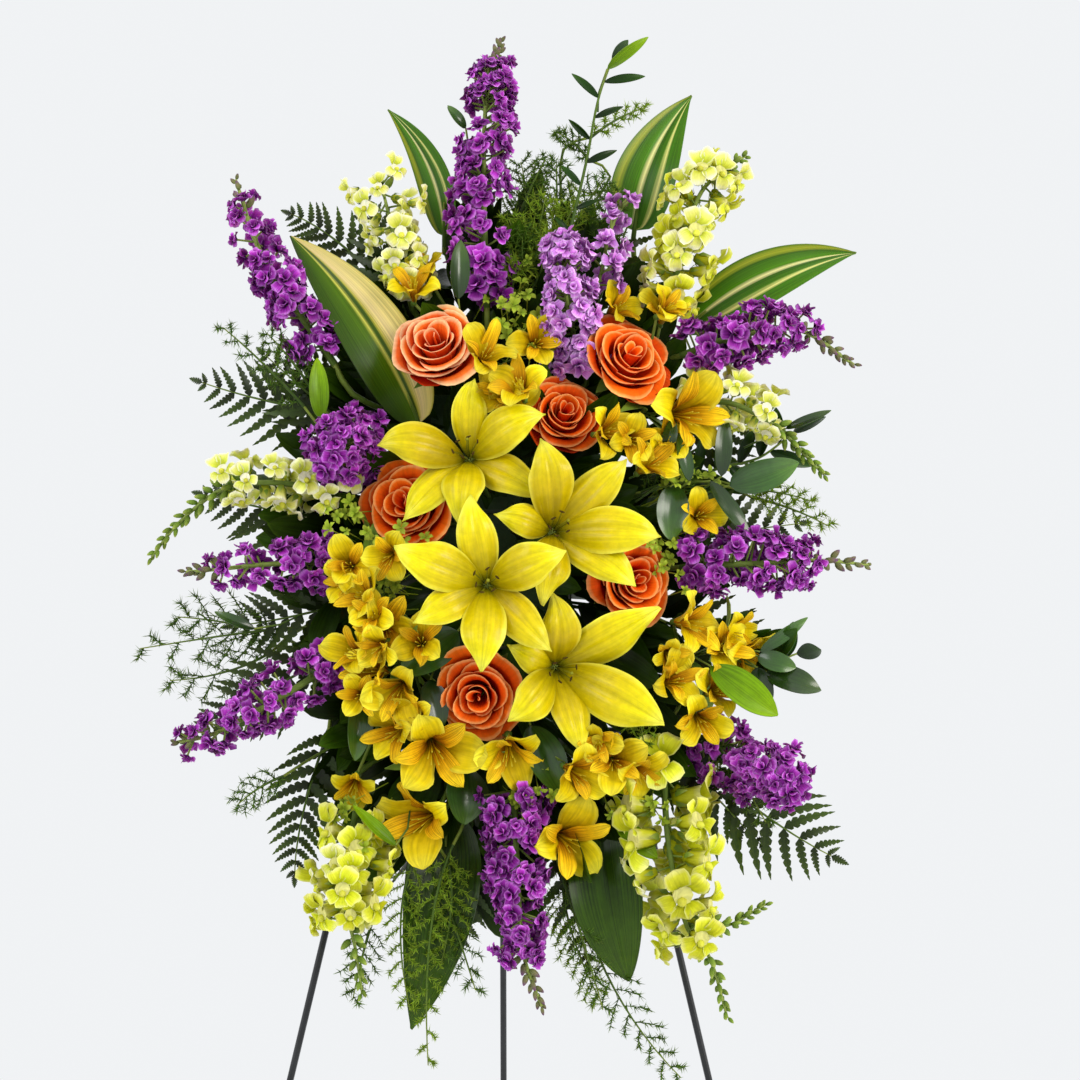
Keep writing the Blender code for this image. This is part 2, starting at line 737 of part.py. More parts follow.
def round_off(thing):
    """Shade a round piece smooth, but not over its sharp edges."""
    thing.data.shade_smooth()
    thing.data.set_sharp_from_angle(angle=SHARP_ANGLE)
    return thing


def swing_on(axis_holder, thing):
    """Give a moving piece its origin on the pin's axis, and hang it from the empty there."""
    thing.data.transform(Matrix.Translation(-axis_holder.location))
    thing.parent = axis_holder


def easel():
    """Front legs, pin, cross bar, and the rear leg with its eye."""
    pin = pin_centre()
    lean_per_height = math.tan(LEAN)
    for name, sign in (("front_leg_left", -1.0), ("front_leg_right", 1.0)):
        ends = []
        for height in (0.0, PIN_HEIGHT + LEG_ABOVE_PIN):
            drop = PIN_HEIGHT - height
            across = sign * (LEG_TOP_HALF_GAP + SPLAY * drop)
            ends.append(np.array((across, pin[1] - lean_per_height * drop, height)))
        rod(name, *ends)
    reach = np.array((PIN_HALF_LENGTH, 0.0, 0.0))
    rod("top_pin", pin - reach, pin + reach)
    bar_level = -(FOAM_LENGTH / 2 + TOUCH + TRAY_WALL + TOUCH + ROD_RADIUS)
    bar = in_foam(0.0, bar_level, leg_plane_offset() + 2 * ROD_RADIUS + 2 * TOUCH)
    half = LEG_TOP_HALF_GAP + SPLAY * (PIN_HEIGHT - bar[2]) + CROSS_BAR_OVERHANG
    rod("cross_bar", bar - np.array((half, 0.0, 0.0)), bar + np.array((half, 0.0, 0.0)))
    down = np.array((0.0, math.sin(REAR_LEG_BACK), -math.cos(REAR_LEG_BACK)))
    start = pin + down * (EYE_RADIUS + EYE_WIRE_RADIUS + TOUCH)
    foot = pin + down * (PIN_HEIGHT / math.cos(REAR_LEG_BACK))
    foot[2] = 0.0
    axis_holder = bpy.data.objects.new("pin_axis", None)
    axis_holder.location = pin
    bpy.context.scene.collection.objects.link(axis_holder)
    swing_on(axis_holder, rod("rear_leg", foot, start))
    swing_on(axis_holder, rear_leg_eye(pin))


def rear_leg_eye(pin):
    """The rear leg's top end, bent into a closed ring round the pin."""
    rings = []
    for step in range(EYE_STEPS):
        turn = 2.0 * math.pi * step / EYE_STEPS
        out = np.array((0.0, math.cos(turn), math.sin(turn)))
        wire = [2.0 * math.pi * part / WIRE_SIDES for part in range(WIRE_SIDES)]
        rings.append([pin + out * (EYE_RADIUS + EYE_WIRE_RADIUS * math.cos(w))
                      + np.array((EYE_WIRE_RADIUS * math.sin(w), 0.0, 0.0)) for w in wire])
    points = [point for ring in rings for point in ring]
    triangles = []
    for step in range(EYE_STEPS):
        for part in range(WIRE_SIDES):
            here, there = WIRE_SIDES * step, WIRE_SIDES * ((step + 1) % EYE_STEPS)
            after = (part + 1) % WIRE_SIDES
            triangles.append((here + part, here + after, there + after))
            triangles.append((here + part, there + after, there + part))
    return round_off(node("rear_leg_eye", [facing_out(points, triangles)], "painted wire"))


def fold_space():
    """A thin wedge that keeps the plants out of the rear leg's swing. It is no part of the object."""
    pin = pin_centre()
    half = 2 * ROD_RADIUS
    down_rear = np.array((0.0, math.sin(REAR_LEG_BACK), -math.cos(REAR_LEG_BACK)))
    down_front = np.array((0.0, -math.sin(LEAN), -math.cos(LEAN)))
    back = np.array((0.0, ROD_RADIUS, 0.0))
    corners = [pin + back, pin + back + down_rear * PIN_HEIGHT, pin + back + down_front * PIN_HEIGHT]
    shift = np.array((half, 0.0, 0.0))
    CROWD.add(loft([[corner - shift for corner in corners], [corner + shift for corner in corners]]))


# Foam and cage

def tray():
    """The plastic tray behind the foam: a back plate with a rim on all four sides."""
    half_w, half_l, half_d = FOAM_WIDTH / 2 + TOUCH, FOAM_LENGTH / 2 + TOUCH, FOAM_DEPTH / 2 + TOUCH
    wall = TRAY_WALL
    far_w, far_l = half_w + wall, half_l + wall
    outer = box((-far_w, -far_l, -half_d - wall), (far_w, far_l, -half_d + TRAY_RIM))
    inner = box((-half_w, -half_l, -half_d), (half_w, half_l, half_d))
    made = mesh_object("foam_tray", outer, bpy.context.scene.collection)
    boolean_with(made, [inner], "DIFFERENCE", "EXACT")
    keep_largest_body(made.data)
    made.data.materials.clear()
    made.data.materials.append(material("green plastic"))
    CROWD.add(outer)


def grid():
    """Three straps over the foam, joined by a bar at each front corner."""
    half_w, half_d = FOAM_WIDTH / 2 + TOUCH, FOAM_DEPTH / 2 + TOUCH
    far_w, far_d = half_w + TRAY_WALL, half_d + TRAY_WALL
    foot = -half_d + TRAY_RIM + TOUCH
    outline = ((-far_w, foot), (-far_w, far_d), (far_w, far_d), (far_w, foot),
               (half_w, foot), (half_w, half_d), (-half_w, half_d), (-half_w, foot))
    pieces = []
    for level in STRAP_LEVELS:
        edges = (level - STRAP_WIDTH / 2, level + STRAP_WIDTH / 2)
        pieces.append(u_strap([[in_foam(x, v, n) for x, n in outline] for v in edges]))
    inset = CORNER_BAR_INSET
    low, high = STRAP_LEVELS[0], STRAP_LEVELS[-1]
    for sign in (-1.0, 1.0):
        ends = sorted((sign * (half_w + inset), sign * (far_w - inset)))
        pieces.append(box((ends[0], low, half_d + inset), (ends[1], high, far_d - inset)))
    node("cage_grid", pieces, "green plastic")


def u_strap(rims):
    """A strap with a U outline: two rims of eight points, joined all round and closed by panels."""
    points = [*rims[0], *rims[1]]
    panels = ((0, 1, 6, 7), (1, 2, 5, 6), (2, 3, 4, 5))
    triangles = []
    for a, b, c, d in panels:
        triangles.extend(((a, b, c), (a, c, d)))
        triangles.extend(((a + 8, c + 8, b + 8), (a + 8, d + 8, c + 8)))
    for index in range(8):
        after = (index + 1) % 8
        triangles.extend(((index, index + 8, after), (after, index + 8, after + 8)))
    return facing_out(points, triangles)


class Hole:
    """A place for one stem on the foam: its mouth and the direction that points out of it."""

    def __init__(self, mouth, normal):
        self.mouth = mouth
        self.normal = normal
        self.free = True


def holes():
    """All holes that the foam could have, on a grid on its front, sides, top and bottom."""
    up, front = foam_axes()
    right = np.array((1.0, 0.0, 0.0))
    made = []
    for v in FRONT_ROWS:
        for x in FRONT_COLUMNS:
            made.append(Hole(in_foam(x, v, FOAM_DEPTH / 2), front))
    for sign in (-1.0, 1.0):
        for v in SIDE_ROWS:
            for n in SIDE_COLUMNS:
                made.append(Hole(in_foam(sign * FOAM_WIDTH / 2, v, n), right * sign))
        for x in END_COLUMNS:
            for n in SIDE_COLUMNS:
                made.append(Hole(in_foam(x, sign * FOAM_LENGTH / 2, n), up * sign))
    return made


HOLES = holes()


def nearest_holes(target):
    """The few free holes whose straight way out comes closest to the target, nearest first."""
    free = [hole for hole in HOLES if hole.free]

    def way(hole):
        return np.linalg.norm(hole.mouth + hole.normal * HOLE_SIGHT - target)

    return sorted(free, key=way)[:HOLES_TRIED]


def foam_outline():
    """The foam block before its holes are made."""
    half = (FOAM_WIDTH / 2, FOAM_LENGTH / 2, FOAM_DEPTH / 2)
    return box((-half[0], -half[1], -half[2]), half)


def foam():
    """The foam block, with a plain three-sided hole for each stem, turned as the stem is."""
    block = mesh_object("foam_block", foam_outline(), bpy.context.scene.collection)
    cutters = []
    for hole in HOLES:
        if not hole.free:
            bottom = hole.mouth - hole.normal * (HOLE_DEPTH + TOUCH)
            mouth = hole.mouth + hole.normal * CUTTER_PROUD
            cutters.append(tube((bottom, mouth), (HOLE_RADIUS, HOLE_RADIUS), STEM_SIDES))
    boolean_with(block, cutters, "DIFFERENCE", "EXACT")
    keep_largest_body(block.data)
    block.data.materials.clear()
    block.data.materials.append(material("wet foam"))


# Stems

def stem(marks, label, radii=None):
    """A stem from its hole through the marks, bowed sideways where the straight way isn't clear.

    Where no bow is clear its upper part is made slimmer.
    """
    first = marks[0]
    radii = list(radii or [STEM_RADIUS] * len(marks))
    level = STEM_AIM * (first[2] - FOAM_HEIGHT)
    core = in_foam(0.0, max(-STEM_AIM_LIMIT, min(STEM_AIM_LIMIT, level)), 0.0)
    target = core + unit(first - core) * FOAM_WIDTH
    for slimming in STEM_SLIMMINGS:
        for hole in nearest_holes(target):
            inner = hole.mouth - hole.normal * HOLE_DEPTH
            outer = hole.mouth + hole.normal * STEM_STRAIGHT
            widths = [STEM_RADIUS] * 2 + [radius * slimming for radius in radii]
            for offset in sideways_bows(unit(first - outer)):
                path = [outer, (outer + first) / 2.0 + offset, *marks]
                if CROWD.clears(tube(path, widths, STEM_SIDES)):
                    hole.free = False
                    return tube([inner, *path], [STEM_RADIUS, *widths], STEM_SIDES)
    raise ValueError(f"no clear way for the stem of {label}")


def sideways_bows(along):
    """No bow, then growing bows to all sides of a direction."""
    side, other = square_to(along)
    offsets = [np.zeros(3)]
    for bow in STEM_BOWS:
        offsets.extend(bow * (math.cos(turn) * side + math.sin(turn) * other) for turn in EIGHTHS)
    return offsets


def first_clear(make, shifts, siblings=None):
    """The first of a piece's variants that touches nothing else, or None."""
    for shift in shifts:
        piece = make(shift)
        if CROWD.clears(piece) and (siblings is None or siblings.clears(piece, 0.0)):
            return piece
    return None


# Lilies

# Where a petal meets something, it is tried this much further in front or behind
PETAL_SHIFTS = (0.0, 0.006, -0.006, 0.012, -0.012, 0.018, -0.018, 0.026, -0.026, 0.034, -0.034)
LILY_THROAT_DEPTH = 0.030
LILY_NECK = ((-0.012, 0.003), (0.003, 0.0085))
LILY_STEM_END = 0.004
PETAL_THICKNESS = 0.0016
PETAL_CUP = 0.15
PETAL_WAVE = 0.0008
# The inner petals are wider, rise further and bend back less than the outer ones
INNER_PETAL = dict(width=0.037, rise=0.012, tip_back=0.008, root_back=0.0)
OUTER_PETAL = dict(width=0.030, rise=0.003, tip_back=0.014, root_back=0.003)
PETAL_ROOT_WIDTH = 0.0050
PETAL_ROOT_RADIUS = 0.0045
PETAL_WIDTH_SHARES = (0.60, 1.0, 0.80, 0.0)
STAMENS = 6
STAMEN_FOOT = 0.0030
STAMEN_MARKS = ((0.045, 0.011), (0.054, 0.014))
STAMEN_RADII = (0.0008, 0.0024, 0.0)


def lily(name, centre, depth, tips):
    """Six recurved petals round a throat, six stamens, and the stem."""
    middle = seen(*centre, depth)
    looks = outward(*centre)
    throat = middle - looks * LILY_THROAT_DEPTH
    siblings = Crowd()
    pieces = [stem([throat - looks * LILY_THROAT_DEPTH, throat + looks * LILY_STEM_END], name)]
    pieces.append(tube([throat + looks * by for by, _ in LILY_NECK], [radius for _, radius in LILY_NECK], 6))
    for index, tip in enumerate(tips):
        form = OUTER_PETAL if index % 2 else INNER_PETAL

        def petal(shift, tip=tip, form=form):
            end = seen(*tip, depth - form["tip_back"] + shift)
            spread = end - middle
            bend = middle + 0.50 * spread + looks * (form["rise"] + 0.5 * shift)
            across = unit(spread - looks * np.dot(spread, looks))
            root = throat + across * PETAL_ROOT_RADIUS - looks * form["root_back"]
            path = curve(root, bend, end, len(PETAL_WIDTH_SHARES) + 1)
            widths = [PETAL_ROOT_WIDTH, *(form["width"] * share for share in PETAL_WIDTH_SHARES)]
            return blade(path, widths, PETAL_THICKNESS, looks, cup=PETAL_CUP, wave=PETAL_WAVE)

        piece = first_clear(petal, PETAL_SHIFTS, siblings) or first_clear(petal, PETAL_SHIFTS)
        if piece:
            pieces.append(piece)
            siblings.add(piece)
    side, other = square_to(looks)
    for step in range(STAMENS):
        turn = 2.0 * math.pi * step / STAMENS
        spread = math.cos(turn) * side + math.sin(turn) * other
        foot = throat + spread * STAMEN_FOOT
        path = [foot, *(foot + looks * up + spread * out for up, out in STAMEN_MARKS)]
        pieces.append(tube(path, STAMEN_RADII, 3))
    node(name, pieces, "lily")


# Roses

# Each ring of petal lips or of the groove behind it, as shares of the radius: how far out, how far
# forward, how many petals and how deep their scallops are
ROSE_RINGS = (
    (0.16, 0.55, 3, 0.020), (0.24, 0.36, 3, 0.0), (0.42, 0.52, 3, 0.045), (0.50, 0.24, 3, 0.0),
    (0.71, 0.38, 4, 0.055), (0.75, 0.06, 4, 0.0), (1.00, 0.12, 4, 0.070), (0.80, -0.22, 4, 0.0),
    (0.24, -0.60, 4, 0.0),
)
ROSE_SEGMENTS = 12
ROSE_HEART = 0.40
ROSE_BASE = 0.66
ROSE_STEM_END = 0.50
ROSE_STEM_STRAIGHT = 0.030
ROSE_RING_TURN = 1.9
ROSE_LIP_FALL = 0.8


def rose(name, centre, depth, radius):
    """A rose as one solid: rings of scalloped petal lips with grooves between them, on a stem."""
    middle = seen(*centre, depth)
    looks = outward(*centre)
    side, other = square_to(looks)
    rings = [[middle + looks * ROSE_HEART * radius]]
    for level, (reach, height, lobes, scallop) in enumerate(ROSE_RINGS):
        ring = []
        for step in range(ROSE_SEGMENTS):
            turn = 2.0 * math.pi * step / ROSE_SEGMENTS
            wave = scallop * math.cos(lobes * turn + ROSE_RING_TURN * level)
            out = radius * (reach + wave) * (math.cos(turn) * side + math.sin(turn) * other)
            ring.append(middle + looks * radius * (height - ROSE_LIP_FALL * wave) + out)
        rings.append(ring)
    rings.append([middle - looks * ROSE_BASE * radius])
    neck = middle - looks * ROSE_STEM_END * radius
    node(name, [stem([neck - looks * ROSE_STEM_STRAIGHT, neck], name), loft(rings)], "rose")


# Spikes of stock and snapdragon

BUD_ZONE = 0.26
SMALLER_FLORETS = (1.0, 0.86, 0.72, 0.58)
FLORET_WANDER = 0.3
BUD_RADIUS = 0.0036
BUD_BELLY = 0.60
BUD_TAPER = 0.006
STOCK = dict(
    radius=0.58, length=0.62, taper=0.35, hollow=-0.32, rim=STOCK_RUFFLES, bud=0.017, bud_lean=1.2,
)
SNAPDRAGON = dict(
    radius=0.50, length=0.86, taper=0.30, hollow=0.30, rim=SNAPDRAGON_LIPS, bud=0.016, bud_lean=0.8,
)
BRANCH = dict(florets=5, spread=0.026, buds=2)


def spike_points(axis):
    """The spike's axis in space, from its seen points."""
    return [seen(x, z, dome(x, z) + ahead) for x, z, ahead in axis]


def heading(axis, share, step):
    """The direction in which a path runs at a share of its length."""
    return unit(along_path(axis, min(1.0, share + step)) - along_path(axis, max(0.0, share - step)))


def bud(base, direction, length):
    """A pointed bud."""
    marks = [base, base + direction * length * BUD_BELLY, base + direction * length]
    return tube(marks, [0.0, BUD_RADIUS, 0.0], 3)


def floret(form, base, along, out, share, spread, turn):
    """One open floret: stock faces up the spike more and more towards its tip, snapdragon faces out."""
    up = 0.25 + 0.75 * share ** 3 if form is STOCK else 0.15
    taper = 1.0 - form["taper"] * share
    radius = spread * form["radius"] * taper
    reaches = [radius * reach for reach in form["rim"]]
    direction = unit(out + along * up)
    return star(base, direction, spread * form["length"] * taper, reaches, form["hollow"] * radius, turn)


def spike_florets(form, axis, florets, spread, buds, rng, siblings):
    """Florets round the axis at the golden angle, smaller towards the tip, and buds at the tip.

    A floret that meets its neighbours is made smaller, and left out where it still meets them.
    """
    pieces = []
    bud_zone = BUD_ZONE if buds else 0.0
    for index in range(florets + buds):
        is_bud = index >= florets
        if is_bud:
            share = 1.0 - bud_zone + bud_zone * (index - florets + 0.5) / buds
        else:
            share = (1.0 - bud_zone) * (index + 0.5) / florets
        along = heading(axis, share, 0.02)
        side, other = square_to(along)
        turn = GOLDEN_ANGLE * index + rng.uniform(-FLORET_WANDER, FLORET_WANDER)
        out = math.cos(turn) * side + math.sin(turn) * other
        base = along_path(axis, share) + out * spread * CORE_SHARE * 0.3 * (1.0 - share)
        turn = rng.uniform(0.0, 1.2)
        for size in SMALLER_FLORETS:
            if is_bud:
                length = form["bud"] - BUD_TAPER * (share - 1.0 + bud_zone) / bud_zone
                piece = bud(base, unit(out + along * form["bud_lean"]), length)
            else:
                piece = floret(form, base, along, out, share, spread * size, turn)
            if CROWD.clears(piece) and siblings.clears(piece, -FLORET_OVERLAP):
                pieces.append(piece)
                siblings.add(piece)
                break
    return pieces


def spike(name, kind, form, axis, florets, spread, buds, seed, branch=None):
    """A stock or a snapdragon: its stem and axis, with florets and buds round it."""
    rng = random.Random(seed)
    points = spike_points(axis)
    siblings = Crowd()
    core = spread * CORE_SHARE
    radii = [core] * len(points)
    if buds:
        shares = np.linspace(0.0, 1.0, len(points))
        radii = [max(AXIS_RADIUS * 0.5, core * (1.0 - share ** 1.2)) for share in shares]
    pieces = [stem(points, name, radii)]
    pieces.extend(spike_florets(form, points, florets, spread, buds, rng, siblings))
    if branch:
        side_axis = [points[1], *spike_points(branch)]
        twig = tube(side_axis, [AXIS_RADIUS] * len(side_axis), STEM_SIDES)
        if CROWD.clears(twig):
            pieces.append(twig)
            pieces.extend(spike_florets(form, side_axis[1:], rng=rng, siblings=siblings, **BRANCH))
    node(name, pieces, kind)


# Alstroemeria

TRUMPET_SHIFTS = (0.0, 0.008, -0.008, 0.016, -0.016, 0.026, -0.026)
TRUMPET_LENGTH = 1.5
TRUMPET_HOLLOW = 0.95
TRUMPET_NOTCH = 0.5
TRUMPET_LEAN = 0.35
STALK_RADIUS = 0.0014
STALK_ROOT = 0.0026
KNOB_HALF = 0.006
KNOB_RADIUS = 0.0055
COLLAR_LEAF_LENGTH = 0.040
COLLAR_LEAF_WIDTH = 0.034
COLLAR_LEAF_SIZES = (1.5, 1.2, 0.9)
COLLAR_LEAF_RISE = 0.006
COLLAR_LEAF_FALL = 0.008


def collar_leaves(start, looks):
    """Leaves that stand out round a stem's fork, with those that have no room left out."""
    side, other = square_to(looks)
    leaves = []
    for index in range(ALSTROEMERIA_LEAVES):
        turn = GOLDEN_ANGLE * index
        out = unit(math.cos(turn) * side + math.sin(turn) * other + 0.25 * looks)
        for size in COLLAR_LEAF_SIZES:
            reach = COLLAR_LEAF_LENGTH * size
            bend = start + out * reach * 0.5 + looks * COLLAR_LEAF_RISE
            path = curve(start, bend, start + out * reach - looks * COLLAR_LEAF_FALL, 3)
            widths = [0.004, COLLAR_LEAF_WIDTH * size * 0.5, 0.0]
            leaf = blade(path, widths, PETAL_THICKNESS, looks, cup=PETAL_CUP)
            if CROWD.clears(leaf):
                leaves.append(leaf)
                break
    return leaves


def alstroemeria(name, fork, trumpets):
    """A stem that forks into short stalks, each with a six-lobed trumpet, and leaves at the fork."""
    start = seen(*fork)
    siblings = Crowd()
    way = unit(start - in_foam(0.0, 0.0, 0.0))
    knob = tube([start - way * KNOB_HALF, start, start + way * KNOB_HALF], [0.0, KNOB_RADIUS, 0.0], 5)
    pieces = [stem([start], name), knob]
    for index, (x, z, depth, radius) in enumerate(trumpets):
        lean = np.array((math.cos(2.4 * index), 0.0, math.sin(2.4 * index)))
        looks = unit(outward(x, z) + TRUMPET_LEAN * lean)
        turned = 0.5 * index

        def trumpet(shift, x=x, z=z, depth=depth, radius=radius, looks=looks, turned=turned):
            base = seen(x, z, depth + shift) - looks * radius * TRUMPET_LENGTH
            reaches = [radius, TRUMPET_NOTCH * radius] * ALSTROEMERIA_PETALS
            return star(base, looks, radius * TRUMPET_LENGTH, reaches, radius * TRUMPET_HOLLOW, turned)

        bloom = first_clear(trumpet, TRUMPET_SHIFTS, siblings)
        if bloom is None:
            continue
        base = bloom[0][0]
        end = base + looks * radius * 0.5

        def stalk(shift, base=base, end=end):
            bend = (start + base) / 2.0 + shift
            return tube([start + unit(bend - start) * STALK_ROOT, bend, end], [STALK_RADIUS] * 3, 3)

        twig = first_clear(stalk, sideways_bows(unit(base - start)))
        if twig:
            pieces.extend((bloom, twig))
            siblings.add(bloom)
    pieces.extend(collar_leaves(start, way))
    node(name, pieces, "alstroemeria")


# Foliage

DEPTH_SHIFTS = (0.0, -0.008, 0.008, -0.016, 0.016, -0.026, 0.026, -0.036, 0.036, 0.050)
LEAF_STATIONS = 8
LEAF_THICKNESS = 0.0018
LEAF_CUP = 0.20
LEAF_WAVE = 0.0015
LEAF_ROOT_WIDTH = 0.006
LEAF_FACE = np.array((0.0, -1.0, 0.1))
STALK_BACK = 0.010
STALK_INTO_LEAF = 0.012


def broad_leaf(name, path, width, kind):
    """A broad leaf on its stalk, with its midrib sunk and its edge waved."""
    shares = 0.12 + 0.88 * np.linspace(0.0, 1.0, LEAF_STATIONS)
    widths = [width * (0.12 + 0.88 * abs(math.sin(math.pi * share)) ** 0.75) for share in shares]
    widths[0] = LEAF_ROOT_WIDTH
    widths[-1] = 0.0

    def spine(shift):
        base, bend, tip = (seen(x, z, depth + shift) for x, z, depth in path)
        return curve(base, 2.0 * bend - (base + tip) / 2.0, tip, LEAF_STATIONS)

    for shift in DEPTH_SHIFTS:
        middle_line = spine(shift)
        leaf = blade(middle_line, widths, LEAF_THICKNESS, LEAF_FACE, cup=LEAF_CUP, wave=LEAF_WAVE)
        if CROWD.clears(leaf):
            along = unit(middle_line[1] - middle_line[0])
            start = middle_line[0]
            stalk = stem([start - along * STALK_BACK, start + along * STALK_INTO_LEAF], name)
            node(name, [stalk, leaf], kind)
            return
    raise ValueError(f"no clear place for {name}")


FROND_THICKNESS = 0.0016
FROND_FACE = np.array((0.0, -1.0, 0.15))
FROND_POINTS = 7
FROND_STEM_RADII = (0.0022, 0.0016)
FROND_STEM_BACK = 0.008
# Half the width that is left along the rib, and how far the leaflets lean forward
LEATHERY = dict(slim=0.0030, forward=0.35)
FEATHERY = dict(slim=0.0016, forward=0.55)


def fronds(name, ribs, reach, pairs, kind):
    """One or two fern fronds on a stem."""
    form = FEATHERY if kind == "asparagus fern" else LEATHERY
    siblings = Crowd()
    pieces = []
    for rib in ribs:

        def plate(shift, rib=rib):
            base, bend, tip = (seen(x, z, depth + shift) for x, z, depth in rib)
            spine = curve(base, 2.0 * bend - (base + tip) / 2.0, tip, FROND_POINTS)
            return frond(spine, reach, pairs, FROND_THICKNESS, unit(FROND_FACE), **form)

        piece = first_clear(plate, DEPTH_SHIFTS, siblings)
        if piece is None:
            continue
        siblings.add(piece)
        base = (piece[0][0] + piece[0][1]) / 2.0
        ahead = (piece[0][2] + piece[0][3]) / 2.0
        inside = base + (ahead - base) * 0.8
        if not pieces:
            before = base - unit(ahead - base) * FROND_STEM_BACK
            root = base
            pieces.extend((stem([before, inside], name, FROND_STEM_RADII), piece))
        else:
            twig = tube([root, base, inside], [FROND_STEM_RADII[1]] * 3, 3)
            if CROWD.clears(twig):
                pieces.extend((twig, piece))
    node(name, pieces, kind)


TWIG_RADIUS = 0.0018
RUSCUS_LEAF_LENGTH = 0.040
RUSCUS_LEAF_WIDTH = 0.017
RUSCUS_LEAF_THICKNESS = 0.0014
RUSCUS_FACE = np.array((0.0, -1.0, 0.2))


def ruscus(name, axis, leaves, seed):
    """A ruscus twig with pointed leaves on alternate sides."""
    rng = random.Random(seed)
    points = spike_points(axis)
    siblings = Crowd()
    pieces = [stem(points, name, [TWIG_RADIUS] * len(points))]
    to_viewer = np.array((0.0, -1.0, 0.0))
    for index in range(leaves):
        share = (index + 0.4) / leaves
        base = along_path(points, share)
        along = heading(points, share, 0.03)
        side = unit(np.cross(along, to_viewer)) * (1.0 if index % 2 else -1.0)
        out = unit(along * 0.75 + side - to_viewer * rng.uniform(-0.4, 0.2))
        length = RUSCUS_LEAF_LENGTH * rng.uniform(0.9, 1.15)
        path = curve(base, base + out * length * 0.5 + to_viewer * 0.004, base + out * length, 3)
        leaf = blade(path, [0.003, RUSCUS_LEAF_WIDTH, 0.0], RUSCUS_LEAF_THICKNESS, RUSCUS_FACE, cup=PETAL_CUP)
        if CROWD.clears(leaf) and siblings.clears(leaf, 0.0):
            pieces.append(leaf)
            siblings.add(leaf)
    node(name, pieces, "ruscus")


def build():
    """The whole object: stand and cage first, then the plants, and last the foam with their holes."""
    clear_scene()
    easel()
    tray()
    grid()
    CROWD.add(foam_outline())
    fold_space()
    for name, plant in LILIES.items():
        lily(name, **plant)
    for name, plant in ROSES.items():
        rose(name, **plant)
    for name, plant in LEAVES.items():
        broad_leaf(name, **plant)
    for name, plant in ALSTROEMERIAS.items():
        alstroemeria(name, **plant)
    for seed, (name, plant) in enumerate(STOCKS.items()):
        spike(name, "stock", STOCK, seed=40 + seed, **plant)
    spike("stock_pale", "pale stock", STOCK, seed=60, **PALE_STOCK)
    for seed, (name, plant) in enumerate(SNAPDRAGONS.items()):
        spike(name, "snapdragon", SNAPDRAGON, seed=80 + seed, **plant)
    for name, plant in FRONDS.items():
        fronds(name, **plant)
    for seed, (name, plant) in enumerate(RUSCUS.items()):
        ruscus(name, seed=100 + seed, **plant)
    foam()


build()
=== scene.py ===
# %% [markdown]
# # A standing funeral spray
# A florist pushes cut stems into a block of wet foam, which leans in a plastic cage on a wire easel.
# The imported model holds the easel, the cage and a plain solid for every stem. This lesson replaces the
# plain plants with petals, florets, leaflets and needles, gives the easel its enamel, and lights it all.

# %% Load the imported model
import math

import bpy
import numpy as np
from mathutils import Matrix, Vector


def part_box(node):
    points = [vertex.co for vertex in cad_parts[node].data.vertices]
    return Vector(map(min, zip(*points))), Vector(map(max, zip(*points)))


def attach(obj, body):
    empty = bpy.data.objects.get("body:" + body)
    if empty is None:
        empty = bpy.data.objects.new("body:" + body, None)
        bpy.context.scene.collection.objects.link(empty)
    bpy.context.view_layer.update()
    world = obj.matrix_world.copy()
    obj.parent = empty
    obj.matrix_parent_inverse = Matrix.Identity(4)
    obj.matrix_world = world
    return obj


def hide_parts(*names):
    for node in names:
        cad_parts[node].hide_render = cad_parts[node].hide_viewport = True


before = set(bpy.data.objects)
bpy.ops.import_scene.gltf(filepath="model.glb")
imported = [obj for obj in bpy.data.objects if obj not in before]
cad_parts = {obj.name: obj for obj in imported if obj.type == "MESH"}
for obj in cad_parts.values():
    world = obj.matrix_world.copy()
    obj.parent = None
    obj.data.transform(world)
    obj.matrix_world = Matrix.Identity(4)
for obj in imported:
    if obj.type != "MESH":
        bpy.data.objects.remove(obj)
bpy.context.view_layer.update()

# %% [markdown]
# ## The spray's own frame
# The spray was planned from the front. A place is given as x across and z up from the foam's middle, as
# the viewer sees them, with a depth in front of the leaning plane of the easel. `seen` turns that into a
# point in the room. The flowers stand on a shallow dome, and `dome` says how far it rises at a place.

# %% Places in the spray
LEAN = math.radians(10.0)
VIEW_DISTANCE = 3.2
HALF_WIDTH, HALF_HEIGHT = 0.33, 0.46
DOME_EDGE, DOME_RISE = 0.018, 0.100
TURN_ASIDE, TURN_AHEAD, TURN_UP = 1.6, 0.42, 0.06       # how far a bloom looks aside, ahead and up
GOLDEN_ANGLE = math.radians(137.5)
FOAM_LOW, FOAM_HIGH = (np.array(corner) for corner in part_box("foam_block"))
FOAM = (FOAM_LOW + FOAM_HIGH) / 2.0
UP = np.array((0.0, math.sin(LEAN), math.cos(LEAN)))
FRONT = np.array((0.0, -math.cos(LEAN), math.sin(LEAN)))
RIGHT = np.array((1.0, 0.0, 0.0))
TO_VIEWER = np.array((0.0, -1.0, 0.0))


def metres(table):
    """The places and lengths in the tables of plants are in millimetres."""
    return np.array(table) / 1000.0


def unit(vectors):
    """Every vector divided by its own length."""
    return vectors / np.maximum(np.linalg.norm(vectors, axis=-1, keepdims=True), 1e-9)


def seen(x, z, depth):
    """The front view's x and z, shrunk a little towards the middle the nearer the point stands."""
    x, z, depth = np.broadcast_arrays(*(np.asarray(value, dtype=float) for value in (x, z, depth)))
    back = math.tan(LEAN) * z
    nearer = 1.0 - (depth - back) / VIEW_DISTANCE
    return np.stack((x * nearer, FOAM[1] + back - depth, FOAM[2] + z * nearer), axis=-1)


